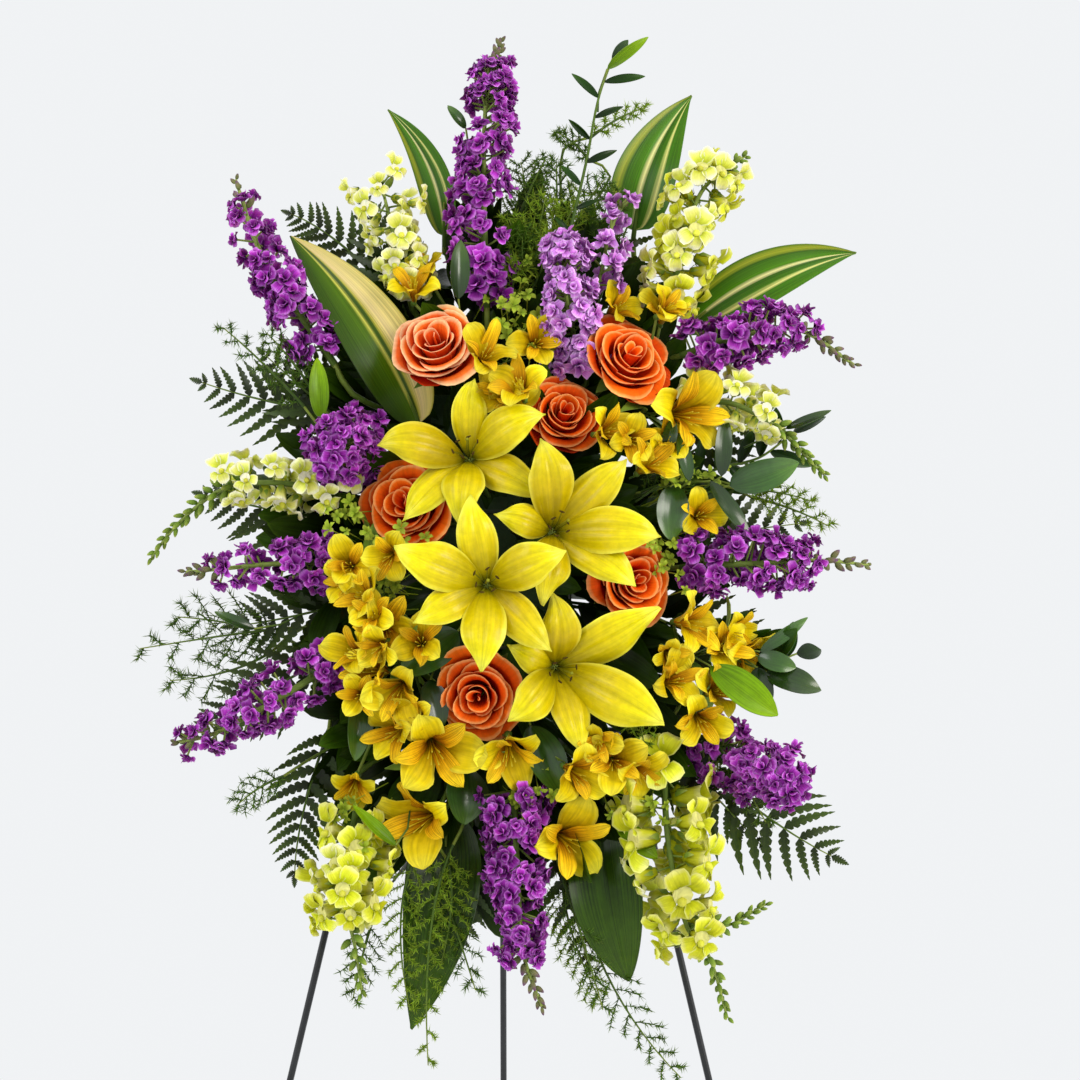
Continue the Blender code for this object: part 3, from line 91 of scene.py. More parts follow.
def dome(x, z):
    """Half an ellipsoid over the spray's outline: edge + rise * sqrt(1 - (x/a)^2 - (z/b)^2)."""
    inside = 1.0 - (np.asarray(x) / HALF_WIDTH) ** 2 - (np.asarray(z) / HALF_HEIGHT) ** 2
    return DOME_EDGE + DOME_RISE * np.sqrt(np.maximum(0.0, inside))


def outward(x, z):
    """Where a bloom at x, z looks: at the viewer and away from the middle."""
    x, z = np.broadcast_arrays(np.asarray(x, dtype=float), np.asarray(z, dtype=float))
    return unit(np.stack((TURN_ASIDE * x, np.full_like(x, -TURN_AHEAD), TURN_UP + z), axis=-1))


def frames(direction, hint):
    """Two unit vectors square to each direction. The second leans towards the hint."""
    side = unit(np.cross(hint, direction))
    return side, np.cross(direction, side)


print("foam middle", FOAM.round(3), "dome in the middle", dome(0.0, 0.0).round(3))

# %% [markdown]
# ## Thin sheets with a thickness
# A petal or a leaf is a surface of two parameters: u runs from its root to its tip, v across it from
# edge to edge. A real petal is about half a millimetre thick, so every sheet is copied a little to both
# sides along its normals, and the rim is closed. That gives closed meshes whose faces all point out.
# Small ones that are repeated hundreds of times thin out to a keen edge instead, where both sides share
# their points: it saves the faces of the rim.

# %% Turn grids of points into closed thin shells
def quads(*corners):
    """Faces with four corners, from one array of point numbers for each corner."""
    return np.stack(corners, axis=-1).reshape(-1, 4)


def shell_faces(rows, columns, keen=False):
    """The corners of a shell's faces: upper layer, lower layer turned over, and the four rims. With a
    keen edge the layers share the points of their edge, and there are no rims."""
    top = np.arange(rows * columns).reshape(rows, columns)
    low = top + rows * columns
    if keen:
        low[[0, -1]] = top[[0, -1]]
        low[:, [0, -1]] = top[:, [0, -1]]
    upper = quads(top[:-1, :-1], top[1:, :-1], top[1:, 1:], top[:-1, 1:])
    lower = quads(low[:-1, :-1], low[:-1, 1:], low[1:, 1:], low[1:, :-1])
    if keen:
        return np.vstack((upper, lower))
    return np.vstack((
        upper,
        lower,
        quads(top[:-1, 0], low[:-1, 0], low[1:, 0], top[1:, 0]),
        quads(top[:-1, -1], top[1:, -1], low[1:, -1], low[:-1, -1]),
        quads(top[0, :-1], top[0, 1:], low[0, 1:], low[0, :-1]),
        quads(top[-1, :-1], low[-1, :-1], low[-1, 1:], top[-1, 1:]),
    ))


def moved_on(faces, step):
    """Faces with their point numbers raised. A face's fourth number is -1 where it has three corners."""
    return np.where(faces < 0, -1, faces + step)


def repeated(faces, copies, points_each):
    """The same faces for every copy, with their corners moved on by the points before them."""
    return moved_on(faces[None], points_each * np.arange(copies)[:, None, None]).reshape(-1, 4)


def shells(sheets, u, v, thickness, seed, material=0, keen=False):
    """Sheets shaped (copies, rows, columns, 3), moved half a thickness to both sides along
    the normal, which is the cross product of the steps along u and along v."""
    copies, rows, columns = sheets.shape[:3]
    normal = unit(np.cross(np.gradient(sheets, axis=1), np.gradient(sheets, axis=2)))
    half = np.full((rows, columns, 1), 0.5 * thickness)
    if keen:
        half[[0, -1]] = 0.0
        half[:, [0, -1]] = 0.0
    points = np.stack((sheets + half * normal, sheets - half * normal), axis=1)
    shape = points.shape[:4]
    used, faces = np.unique(shell_faces(rows, columns, keen), return_inverse=True)

    def kept(values):
        return np.broadcast_to(values, shape).reshape(copies, -1)[:, used].ravel()

    return dict(
        points=points.reshape(copies, -1, 3)[:, used].reshape(-1, 3),
        faces=repeated(faces.reshape(-1, 4), copies, len(used)),
        along=kept(u[None, None, :, None]),
        across=kept(v[None, None, None, :]),
        seed=kept(np.asarray(seed)[:, None, None, None]),
        upper=kept(np.array((1.0, 0.0))[None, :, None, None]),
        material=material,
    )


print("faces of a shell with 4 rows and columns:", len(shell_faces(4, 4)),
      "and with a keen edge:", len(shell_faces(4, 4, True)))

# %% [markdown]
# ## Leaves and petals
# One function makes any number of leaves or petals at once. Each lies along an arc from its root over a
# bend to its tip, and its outline is the product u^a (1 - u)^b, which is blunt or pointed as a and b
# say. Its edges can rise, ripple, twist and be cut into teeth, and its middle can sink to a groove.

# %% Blades along arcs
PLAIN_BLADE = dict(crowd=1.0, cup=0.0, ripple=0.0, waves=2.0, groove=0.0, twist=0.0, slant=0.0, teeth=0,
                   cut=0.0, thickness=0.0006, keen=False)
GROOVE_WIDTH = 0.16     # as a share of the way from the middle to the edge
TOOTH_GAP = 0.2         # the share of a tooth that is cut down to its foot
UNCUT_FROM = 0.97       # the very tip has no teeth


def outline(u, a, b, least=0.05):
    """u^a (1 - u)^b, scaled so that the widest place is 1, and never quite 0."""
    widest = (a / (a + b)) ** a * (b / (a + b)) ** b
    return np.maximum(u ** a * (1.0 - u) ** b / widest, least)


def bezier(root, bend, tip, u):
    """Arcs (1-u)^2 root + 2u(1-u) bend + u^2 tip, and the directions in which they run."""
    u = u[None, :, None]
    a, b, c = root[:, None], bend[:, None], tip[:, None]
    return (1 - u) ** 2 * a + 2 * u * (1 - u) * b + u ** 2 * c, unit((1 - u) * (b - a) + u * (c - b))


def blades(root, bend, tip, face, width, form, seed, material=0):
    """Sheets: spine(u) + side * v * half(u) + lift * (cup + ripple - groove), where cup grows with
    v^2, the ripple is a sine along u that grows towards the edges, and the groove is a bell round v = 0.
    Rows crowd towards the tip as 1 - (1 - t)^crowd, and a slant pushes the edges ahead."""
    form = PLAIN_BLADE | form
    rows, columns = form["grid"]
    t = np.linspace(0.0, 1.0, rows)
    u = 1.0 - (1.0 - t) ** form["crowd"]
    v = np.linspace(-1.0, 1.0, columns)
    along = u[None, :, None]
    spine, way = bezier(root, bend, tip, u)
    seed = np.asarray(seed)
    width = np.broadcast_to(np.asarray(width, dtype=float), seed.shape)
    side = unit(np.cross(np.broadcast_to(face, root.shape)[:, None], way))
    lift = np.cross(way, side)
    turn = (form["twist"] * (seed - 0.5) * 2.0)[:, None, None] * along
    side, lift = side * np.cos(turn) + lift * np.sin(turn), lift * np.cos(turn) - side * np.sin(turn)
    tooth = (form["teeth"] * u) % 1.0
    notch = 1.0 - form["cut"] * np.where(tooth < TOOTH_GAP, 1.0, 0.5 * tooth ** 2) * (u < UNCUT_FROM)
    half = 0.5 * width[:, None] * (outline(u, *form["outline"]) * notch)[None]
    phase = 2.0 * math.pi * (form["waves"] * along + seed[:, None, None] * 7.0)
    ripple = np.sin(phase + 1.3 * np.sign(v)) * np.abs(v) ** 1.5 * np.sqrt(along)
    bell = np.exp(-(v / GROOVE_WIDTH) ** 2)[None, None] * np.sin(math.pi * along)
    height = half[..., None] * form["cup"] * v[None, None] ** 2
    height = height + width[:, None, None] * (form["ripple"] * ripple - form["groove"] * bell)
    sheets = spine[:, :, None] + side[:, :, None] * (half[..., None] * v)[..., None]
    sheets = sheets + lift[:, :, None] * height[..., None]
    sheets = sheets + way[:, :, None] * (form["slant"] * half[..., None] * np.abs(v))[..., None]
    return shells(sheets, u, v, form["thickness"], seed, material, form["keen"])


print("a lily petal's outline:", outline(np.linspace(0.0, 1.0, 6), 0.9, 0.75).round(2))

# %% [markdown]
# ## Stems, buds and needles
# Everything round is a ring of points carried along a path. A bud is the same thing with radii that
# swell and shrink. There are thousands of needles, so each is only a pyramid on three sides.

# %% Rods along paths
def square_axis(ways):
    """For each vector the room's axis that is most nearly square to it."""
    return np.eye(3)[np.argmin(np.abs(ways), axis=-1)]


def tubes(paths, radii, sides=6, seed=None, material=0):
    """Rings of points square to each path: path + radius * (cos * side + sin * other), closed by
    flat quads at both ends."""
    paths = np.asarray(paths, dtype=float)
    copies, stations = paths.shape[:2]
    seed = np.zeros(copies) if seed is None else np.asarray(seed)
    radii = np.broadcast_to(radii, (copies, stations))
    way = unit(np.gradient(paths, axis=1))
    side, other = frames(way, square_axis(paths[:, -1] - paths[:, 0])[:, None])
    turn = 2.0 * math.pi * np.arange(sides) / sides
    ring = np.cos(turn)[:, None] * side[:, :, None] + np.sin(turn)[:, None] * other[:, :, None]
    points = paths[:, :, None] + radii[..., None, None] * ring
    index = np.arange(stations * sides).reshape(stations, sides)
    after = np.roll(index, -1, axis=1)
    walls = quads(index[:-1], after[:-1], after[1:], index[1:])
    fan = np.array([(0, k, k + 1, k + 2) for k in range(1, sides - 2, 2)])
    faces = np.vstack((walls, fan[:, ::-1], fan + (stations - 1) * sides))
    shape = points.shape[:3]
    return dict(
        points=points.reshape(-1, 3),
        faces=repeated(faces, copies, stations * sides),
        along=np.broadcast_to(np.linspace(0.0, 1.0, stations)[None, :, None], shape).ravel(),
        across=np.broadcast_to((turn / math.pi - 1.0)[None, None], shape).ravel(),
        seed=np.broadcast_to(seed[:, None, None], shape).ravel(),
        upper=np.ones(points.size // 3),
        material=material,
    )


def stalks(start, end, radius=0.0009, material=1):
    """A straight thin rod with four sides from each start to its end."""
    return tubes(np.stack((start, end), axis=1), radius, 4, material=material)


print("faces of a rod with six sides and nine rings:", len(tubes(np.zeros((1, 9, 3)), 1.0)["faces"]))

# %% Needles
NEEDLE_RADIUS = 0.00058     # at the foot of a needle, which tapers to a point
NEEDLE_FACES = np.array(((0, 2, 1, -1), (0, 1, 3, -1), (1, 2, 3, -1), (2, 0, 3, -1)))


def needles(foot, tip, seed, material=0):
    """Pyramids: three points in a ring round each foot, foot + radius * (cos * side + sin * other), and
    one at its tip."""
    way = unit(tip - foot)
    side, other = (axis[:, None] for axis in frames(way, square_axis(way)))
    turn = 2.0 * math.pi * np.arange(3)[:, None] / 3
    ring = foot[:, None] + NEEDLE_RADIUS * (np.cos(turn) * side + np.sin(turn) * other)
    return dict(
        points=np.concatenate((ring, tip[:, None]), axis=1).reshape(-1, 3),
        faces=repeated(NEEDLE_FACES, len(foot), 4),
        along=np.tile((0.0, 0.0, 0.0, 1.0), len(foot)),
        across=np.zeros(4 * len(foot)),
        seed=np.repeat(seed, 4),
        upper=np.ones(4 * len(foot)),
        material=material,
    )


print("corners of four needles' faces:", int(np.sum(repeated(NEEDLE_FACES, 4, 4) >= 0)))

# %% Smooth paths and buds
PATH_STEPS = 12         # points for each stretch of a curve before it is read at even shares
BUD_SHARES = np.array((0.0, 0.14, 0.38, 0.64, 0.88, 1.0))
BUD_RADII = np.array((0.30, 0.80, 1.00, 0.86, 0.50, 0.12))      # a plump spindle


def at_shares(path, shares):
    """The points at given shares of a path's length."""
    far = np.concatenate(([0.0], np.cumsum(np.linalg.norm(np.diff(path, axis=0), axis=1))))
    return np.stack([np.interp(np.asarray(shares) * far[-1], far, path[:, k]) for k in range(3)], axis=-1)


def smooth_path(points, count):
    """A Catmull-Rom curve through the points, read at even shares of its length: half of
    2b + (c - a) t + (2a - 5b + 4c - d) t^2 + (3b - a - 3c + d) t^3 between b and c."""
    points = np.asarray(points, dtype=float)
    padded = np.vstack((2 * points[0] - points[1], points, 2 * points[-1] - points[-2]))
    t = np.linspace(0.0, 1.0, PATH_STEPS, endpoint=False)[None, :, None]
    a, b, c, d = (padded[i:len(padded) - 3 + i, None] for i in range(4))
    dense = 0.5 * (2 * b + (c - a) * t + (2 * a - 5 * b + 4 * c - d) * t ** 2
                   + (3 * b - a - 3 * c + d) * t ** 3)
    return at_shares(np.vstack((dense.reshape(-1, 3), points[-1])), np.linspace(0.0, 1.0, count))


def ovals(base, direction, length, radius, seed, material=0):
    """Buds and seeds: a straight path along each direction, with the radii of a spindle."""
    length = np.broadcast_to(length, (len(base),))
    radius = np.broadcast_to(radius, (len(base),))
    paths = base[:, None] + direction[:, None] * (length[:, None] * BUD_SHARES)[..., None]
    return tubes(paths, radius[:, None] * BUD_RADII, 6, seed, material)


print("points of a smooth stem:", len(smooth_path(((0, 0, 0), (0, 1, 1), (0, 1, 2)), 9)))

# %% [markdown]
# ## Whorls
# Most flowers are whorls: a few petals of one kind at even angles round the direction in which the
# flower looks. A whorl is described by how far out and how far forward its petals' roots, bends and tips
# stand, as shares of the flower's size. Many flowers are made at once.

# %% Petals in whorls round many flowers
def whorl_angles(rule):
    """The rule's own angles, or else as many even steps round the circle as it counts petals."""
    if "angles" in rule:
        return np.radians(rule["angles"])
    return np.arange(rule["count"]) * 2.0 * math.pi / rule["count"]


def whorl(centre, looks, size, rule, form, rng, up=None, turn=None, material=0):
    """Petal tips at centre + radial * out + looks * forward, with radial turning evenly round looks.
    Turns, sizes and heights wander, each by its own normal random number."""
    flowers = len(centre)
    side, other = frames(looks, np.broadcast_to(UP if up is None else up, looks.shape))
    turn = rng.uniform(0.0, 2.0 * math.pi, flowers) if turn is None else np.broadcast_to(turn, (flowers,))
    angles = whorl_angles(rule)
    wander = rule.get("wander", 0.12)
    petals = (flowers, len(angles))
    angle = turn[:, None] + angles[None] + rule.get("start", 0.0) + rng.normal(0.0, wander, petals)
    radial = np.cos(angle)[..., None] * side[:, None] + np.sin(angle)[..., None] * other[:, None]
    scale = np.broadcast_to(size, (flowers,))[:, None] * (1.0 + rng.normal(0.0, 0.6 * wander, petals))
    scale = scale[..., None]
    marks = []
    for out, forward in (rule["root"], rule["bend"], rule["tip"]):
        forward = forward + rng.normal(0.0, wander * out * 0.7, petals)
        marks.append(centre[:, None] + scale * (radial * out + looks[:, None] * forward[..., None]))
    out, forward = (rule["tip"][k] - rule["root"][k] for k in (0, 1))
    face = unit(looks[:, None] * (out + 0.05) - radial * forward)
    root, bend, tip = (mark.reshape(-1, 3) for mark in marks)
    width = (scale[..., 0] * rule["width"]).ravel()
    return blades(root, bend, tip, face.reshape(-1, 3), width, form, rng.uniform(size=len(root)), material)


print("five petals stand at", np.degrees(whorl_angles({"count": 5})).round(), "degrees")

# %% [markdown]
# ## Pieces
# All parts of a plant go into one mesh. Four numbers are kept with every point: how far along its petal
# it is, how far across, a random number for each petal, and whether it is on the upper side. The
# materials read them, so that a vein or a coloured rim follows the petal wherever it turns.

# %% Put parts into a mesh that rides on the stand
triangles_made = {}


def piece(name, parts, materials, replaces=(), body="stand"):
    """Points one after the other, faces shifted by the points before them, values kept as attributes."""
    offsets = np.cumsum([0] + [len(part["points"]) for part in parts[:-1]])
    faces = np.vstack([moved_on(part["faces"], offset) for part, offset in zip(parts, offsets)])
    corners = faces[faces >= 0]
    sides = np.sum(faces >= 0, axis=1)
    triangles = int(np.sum(sides - 2))
    points = np.vstack([part["points"] for part in parts])
    mesh = bpy.data.meshes.new(name)
    mesh.vertices.add(len(points))
    mesh.vertices.foreach_set("co", points.astype(np.float32).ravel())
    mesh.loops.add(len(corners))
    mesh.loops.foreach_set("vertex_index", corners.astype(np.int32))
    mesh.polygons.add(len(faces))
    mesh.polygons.foreach_set("loop_start", (np.cumsum(sides) - sides).astype(np.int32))
    material_of = np.concatenate([np.full(len(part["faces"]), part["material"]) for part in parts])
    mesh.polygons.foreach_set("material_index", material_of.astype(np.int32))
    for key in ("along", "across", "seed", "upper"):
        values = np.concatenate([part[key] for part in parts]).astype(np.float32)
        mesh.attributes.new(key, "FLOAT", "POINT").data.foreach_set("value", values)
    mesh.update(calc_edges=True)
    mesh.validate()
    mesh.shade_smooth()
    mesh.set_sharp_from_angle(angle=math.radians(75.0))
    for material in materials:
        mesh.materials.append(material)
    made = bpy.data.objects.new(name, mesh)
    bpy.context.scene.collection.objects.link(made)
    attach(made, body)
    if replaces:
        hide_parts(*replaces)
    triangles_made[name] = triangles
    print(name, triangles, "triangles")
    return made


def make_all(make, plans, first_seed):
    """One plant for each plan, with random numbers of its own."""
    for number, (name, plan) in enumerate(plans.items()):
        make(name, seed=first_seed + number, **plan)


# %% [markdown]
# ## Colour and shader nodes
# Colours are written as they look on a screen, in sRGB hex, and turned to the linear values that the
# renderer needs. One small function adds a node, sets it, and links what feeds it.

# %% Helpers for materials
def linear(code):
    """Each channel over 255, with the sRGB curve undone: c/12.92 when dark, else ((c+0.055)/1.055)^2.4."""
    channels = np.array([int(code[k:k + 2], 16) for k in (1, 3, 5)]) / 255.0
    opened = np.where(channels <= 0.04045, channels / 12.92, ((channels + 0.055) / 1.055) ** 2.4)
    return (*(float(value) for value in opened), 1.0)


def put(tree, kind, feeds=(), out=0, stops=(), **settings):
    """Add a node with its settings, its ramp's stops, and a value or a link for each input named or
    listed. Return one of its outputs."""
    made = tree.nodes.new(kind)
    for key, value in settings.items():
        setattr(made, key, value)
    for _ in stops[2:]:
        made.color_ramp.elements.new(0.5)
    for index, (place, code) in enumerate(stops):
        made.color_ramp.elements[index].position = place
        made.color_ramp.elements[index].color = linear(code)
    for key, value in feeds.items() if isinstance(feeds, dict) else enumerate(feeds):
        if isinstance(value, bpy.types.NodeSocket):
            tree.links.new(value, made.inputs[key])
        else:
            made.inputs[key].default_value = value
    return made.outputs[out]


def new_material(name, roughness, ior=1.45, **numbers):
    """A material with a Principled shader, that shader, its node tree and object coordinates. Each
    number goes to the socket that it names, with a low line for every space."""
    material = bpy.data.materials.new(name)
    material.use_nodes = True
    tree = material.node_tree
    shader = tree.nodes["Principled BSDF"]
    for socket, value in dict(Roughness=roughness, IOR=ior, **numbers).items():
        shader.inputs[socket.replace("_", " ")].default_value = value
    print("material:", name)
    return material, shader, tree, put(tree, "ShaderNodeTexCoord", out="Object")


print("linear value of the lily's yellow:", np.round(linear("#e0cc06")[:3], 3))

# %% [markdown]
# ## Living tissue
# A petal or leaf is thin plant tissue under a waxy skin. The wax gives a soft gloss, the watery cells
# let light through, the veins run from root to tip and catch the light as fine ridges, and no two petals
# are quite the same colour. One recipe serves them all, with colours and numbers of their own.

# %% A recipe for petals and leaves
CELL_SIZE = 0.0035      # patches of colour a few millimetres wide
HUE_DRIFT = 0.005       # how far a petal's hue may differ, as a share of the colour wheel


def petal_values(tree):
    """What the mesh keeps with each point: along, across and seed, and the three as one vector."""
    along, across, seed = (put(tree, "ShaderNodeAttribute", out="Fac", attribute_name=key)
                           for key in ("along", "across", "seed"))
    return along, across, seed, put(tree, "ShaderNodeCombineXYZ", (across, along, seed))


def tissue(name, stops, rim=None, rim_from=0.72, rim_share=0.8, under=None, roughness=0.5, soft=0.15,
           veins=9.0, vein_shade=0.25, vein_depth=0.0002, spread=0.25, coat=0.0, coat_blur=0.25,
           gloss=0.18):
    """Colour: a ramp along the petal, streaked by noise that is stretched along it, lighter or darker
    for each petal and in small patches, with a coloured rim and an underside of its own. On some petals
    the ramp's dark root is partly painted shade and the rim colour partly a painted highlight."""
    material, shader, tree, spot = new_material(
        name, roughness, Subsurface_Weight=soft, Subsurface_Scale=0.003, Subsurface_Radius=(1.0, 0.7, 0.3),
        Specular_IOR_Level=gloss, Coat_Weight=coat, Coat_Roughness=coat_blur,
    )
    along, across, seed, place = petal_values(tree)
    stretched = put(tree, "ShaderNodeMapping", {"Vector": place, "Scale": (veins, 1.4, 40.0)})
    streaks = put(tree, "ShaderNodeTexNoise", {"Vector": stretched, "Scale": 1.0, "Detail": 2.0})
    cells = put(tree, "ShaderNodeTexNoise", {"Vector": spot, "Scale": 0.5 / CELL_SIZE, "Detail": 3.0})
    # the ramp along the petal: on the lily, rose and stock petals its dark root is partly painted shade
    colour = put(tree, "ShaderNodeValToRGB", (along,), stops=stops)
    # the rim, lighter towards edges and tip: painted highlight on lily and stock petals, partly on rose
    # petals
    if rim:
        edge = put(tree, "ShaderNodeMath", (across,), operation="ABSOLUTE")
        edge = put(tree, "ShaderNodeMath", (edge, along), operation="MAXIMUM")
        edge = put(tree, "ShaderNodeMapRange", (edge, rim_from, 1.0, 0.0, rim_share))
        colour = put(tree, "ShaderNodeMix", {0: edge, 6: colour, 7: linear(rim)}, out=2, data_type="RGBA")
    if under:
        upper = put(tree, "ShaderNodeAttribute", out="Fac", attribute_name="upper")
        lower = put(tree, "ShaderNodeMapRange", (upper, 1.0, 0.0, 0.0, 0.85))
        colour = put(tree, "ShaderNodeMix", {0: lower, 6: colour, 7: linear(under)}, out=2, data_type="RGBA")
    streak_value = put(tree, "ShaderNodeMapRange", (streaks, 0.3, 0.7, 1.0 - vein_shade, 1.0 + vein_shade))
    seed_value = put(tree, "ShaderNodeMapRange", (seed, 0.0, 1.0, 1.0 - spread, 1.0 + spread))
    cell_value = put(tree, "ShaderNodeMapRange", (cells, 0.3, 0.7, 0.90, 1.10))
    value = put(tree, "ShaderNodeMath", (streak_value, seed_value), operation="MULTIPLY")
    value = put(tree, "ShaderNodeMath", (value, cell_value), operation="MULTIPLY")
    hue = put(tree, "ShaderNodeMapRange", (seed, 0.0, 1.0, 0.5 - HUE_DRIFT, 0.5 + HUE_DRIFT))
    varied = put(tree, "ShaderNodeHueSaturation", {"Hue": hue, "Value": value, "Color": colour})
    tree.links.new(varied, shader.inputs["Base Color"])
    height = put(tree, "ShaderNodeMath", (streaks, cells), operation="ADD")
    bump = put(tree, "ShaderNodeBump", {"Height": height, "Distance": vein_depth, "Strength": 1.0})
    tree.links.new(bump, shader.inputs["Normal"])
    return material


print("petals have patches of", 1000.0 * CELL_SIZE, "mm")


# %% [markdown]
# ## The camera
# The photograph was taken level, a little right of the middle, from about three metres with a long lens,
# so that the top of the flowers and the first stretch of the legs fill the square frame.

# %% The camera at the photograph's place
CAMERA_ACROSS, CAMERA_ABOVE, LENS = 0.0352, 0.0176, 121.2
camera_data = bpy.data.cameras.new("camera")
camera_data.lens = LENS
camera_data.sensor_width = 36.0
camera = bpy.data.objects.new("camera", camera_data)
camera.location = (CAMERA_ACROSS, float(FOAM[1]) - VIEW_DISTANCE, float(FOAM[2]) + CAMERA_ABOVE)
camera.rotation_euler = (math.radians(90.0), 0.0, 0.0)
bpy.context.scene.collection.objects.link(camera)
bpy.context.scene.camera = camera
print("camera at", [round(value, 3) for value in camera.location])

# %% [markdown]
# ## Stems
# Every stem runs from inside the foam to its bloom. Cut stems are smooth, fresh green and a little
# glossy. The path leaves the foam straight and then bends over to where the bloom stands.

# %% Stems out of the foam
STEM_RADIUS = 0.0027
STEM_POINTS = 9
STEM_STRAIGHT = 0.012                   # the first stretch out of the foam
ROOM_IN_FOAM = (0.052, 0.034, 0.20)     # how far stems start from the foam's axis: aside, ahead, up
stem_green = tissue(
    "flower stem, grown and cut, smooth skin",      # soft gloss along the rod, paler towards the bloom
    ((0.0, "#3f5a22"), (0.7, "#5d7a2a"), (1.0, "#8a9c3f")), roughness=0.42, veins=4.0, vein_shade=0.12,
)
axis_green = tissue(
    "flower spike axis, grown, downy",              # the pale young end of a stem, between its florets
    ((0.0, "#5c7a30"), (1.0, "#a2b65e")), roughness=0.55, veins=4.0, vein_shade=0.12, gloss=0.10,
)


def foam_point(target):
    """A point inside the foam near its surface, on the side of the target."""
    level = np.clip(0.45 * (target[2] - FOAM[2]), -0.11, 0.11)
    core = FOAM + UP * level
    aim = unit(target - core)
    return core + aim / max(abs(aim @ way) / room for way, room in zip((RIGHT, FRONT, UP), ROOM_IN_FOAM))


def stem_to(end, radius=STEM_RADIUS, approach=None, material=1):
    """A rod from the foam to a bloom, which comes in along the approach direction."""
    start = foam_point(end)
    marks = [start, start + unit(end - start) * STEM_STRAIGHT, end]
    if approach is not None:
        marks.insert(2, end - approach * 0.3 * np.linalg.norm(end - start))
    return tubes(smooth_path(marks, STEM_POINTS)[None], radius, 6, material=material)


def stem_under(path, radius=STEM_RADIUS, material=1):
    """A stem that runs on into the first stretch of a path."""
    return stem_to(path[0], radius, unit(path[1] - path[0]), material)


print("a stem starts in the foam at", foam_point(FOAM + FRONT * 0.2 + RIGHT * 0.1).round(3))

# %% [markdown]
# ## Lilies
# Four open Asiatic lilies are the heart of the spray. Each has six tepals, three broad ones in front and
# three narrower ones behind, which bend back to a blunt point, with a groove down the middle and a gently
# waved edge. Six stamens with small dark anthers and a green style stand in the throat.

# %% Lily tissue
lily_petal = tissue(
    "lily tepal, grown, satin cuticle",             # a clear yellow, golden in the throat, satin shine, with painted shade and highlight
    # the olive root is partly the throat's own green and partly painted shade; the light band near the tip
    # and the pale rim are painted highlight
    ((0.0, "#5d6204"), (0.10, "#a89402"), (0.40, "#cdb602"), (0.75, "#dccd08"), (0.92, "#e6dc30"),
     (1.0, "#c2c014")),
    rim="#f0ea58", rim_from=0.80, rim_share=0.55, under="#c4b606", roughness=0.36, soft=0.12,
    veins=7.0, vein_shade=0.13, vein_depth=0.0006, spread=0.10, coat=0.16, coat_blur=0.20, gloss=0.16,
)
anther_brown = tissue(
    "lily anther, grown, powdery pollen",           # dull dark brown with no shine
    ((0.0, "#54400c"), (1.0, "#33240a")), roughness=0.9, soft=0.0, vein_shade=0.2,
)
filament_green = tissue(
    "lily filament, grown, waxy",                   # pale green, fresh and wet looking
    ((0.0, "#4d5208"), (1.0, "#8d8c1a")), roughness=0.4, vein_shade=0.05,
)

# %% Four open lilies
LILIES = {         # x, z and depth of the middle, and x and z of each tip, in millimetres
    "lily_top": dict(
        place=(-30, 102, 142), seed=150,
        tips=((-106, 102), (-22, 159), (40, 129), (43, 56), (-33, 30), (-84, 35)),
    ),
    "lily_middle": dict(
        place=(-12, -18, 172), seed=183,
        tips=((-91, 12), (-24, 58), (60, 9), (47, -79), (-14, -97), (-74, -54)),
    ),
    "lily_right": dict(
        place=(55, 33, 152), seed=162,
        tips=((37, 106), (112, 89), (142, 22), (121, -22), (39, -39), (-3, 41)),
    ),
    "lily_low": dict(
        place=(58, -97, 142), seed=150,
        tips=((48, -28), (142, -41), (146, -143), (73, -167), (9, -141), (9, -74)),
    ),
}
THROAT = 0.030                              # how far the throat lies behind the open petals
LILY_FORM = dict(grid=(30, 15), outline=(0.64, 0.92, 0.030), cup=-0.36, ripple=0.060, waves=1.9,
                 groove=0.085, thickness=0.0011, twist=0.40)
OUTER = np.array((0, 1, 0, 1, 0, 1))        # every second tepal belongs to the outer three
ANTHER_LENGTH, ANTHER_RADIUS = 0.005, 0.0009
STYLE_RISE = np.array((0.0, 0.022, 0.042))[:, None]
STYLE_ASIDE = np.array((0.0, 0.001, 0.004))[:, None]
NECK_BACK = np.array((0.014, 0.008, 0.003))[:, None]        # where the stem widens behind the throat
NECK_RADII = np.array((0.003, 0.0040, 0.0046))


def lily_tepals(middle, throat, looks, depth, tips, rng):
    """Arcs from the throat over a bend ahead of the flower to the tips as seen. The outer three start
    and end further back, and are slimmer."""
    end = seen(tips[:, 0], tips[:, 1], depth - 0.006 - 0.010 * OUTER)
    spread = end - middle
    bend = middle + 0.56 * spread + looks * (0.030 - 0.013 * OUTER)[:, None]
    radial = unit(spread - looks * (spread @ looks)[:, None])
    root = throat + radial * 0.0030 - looks * (0.003 * OUTER)[:, None]
    width = 0.016 + np.linalg.norm(spread, axis=1) * (0.30 - 0.07 * OUTER)
    return blades(root, bend, end, looks, width, LILY_FORM, rng.uniform(size=6))


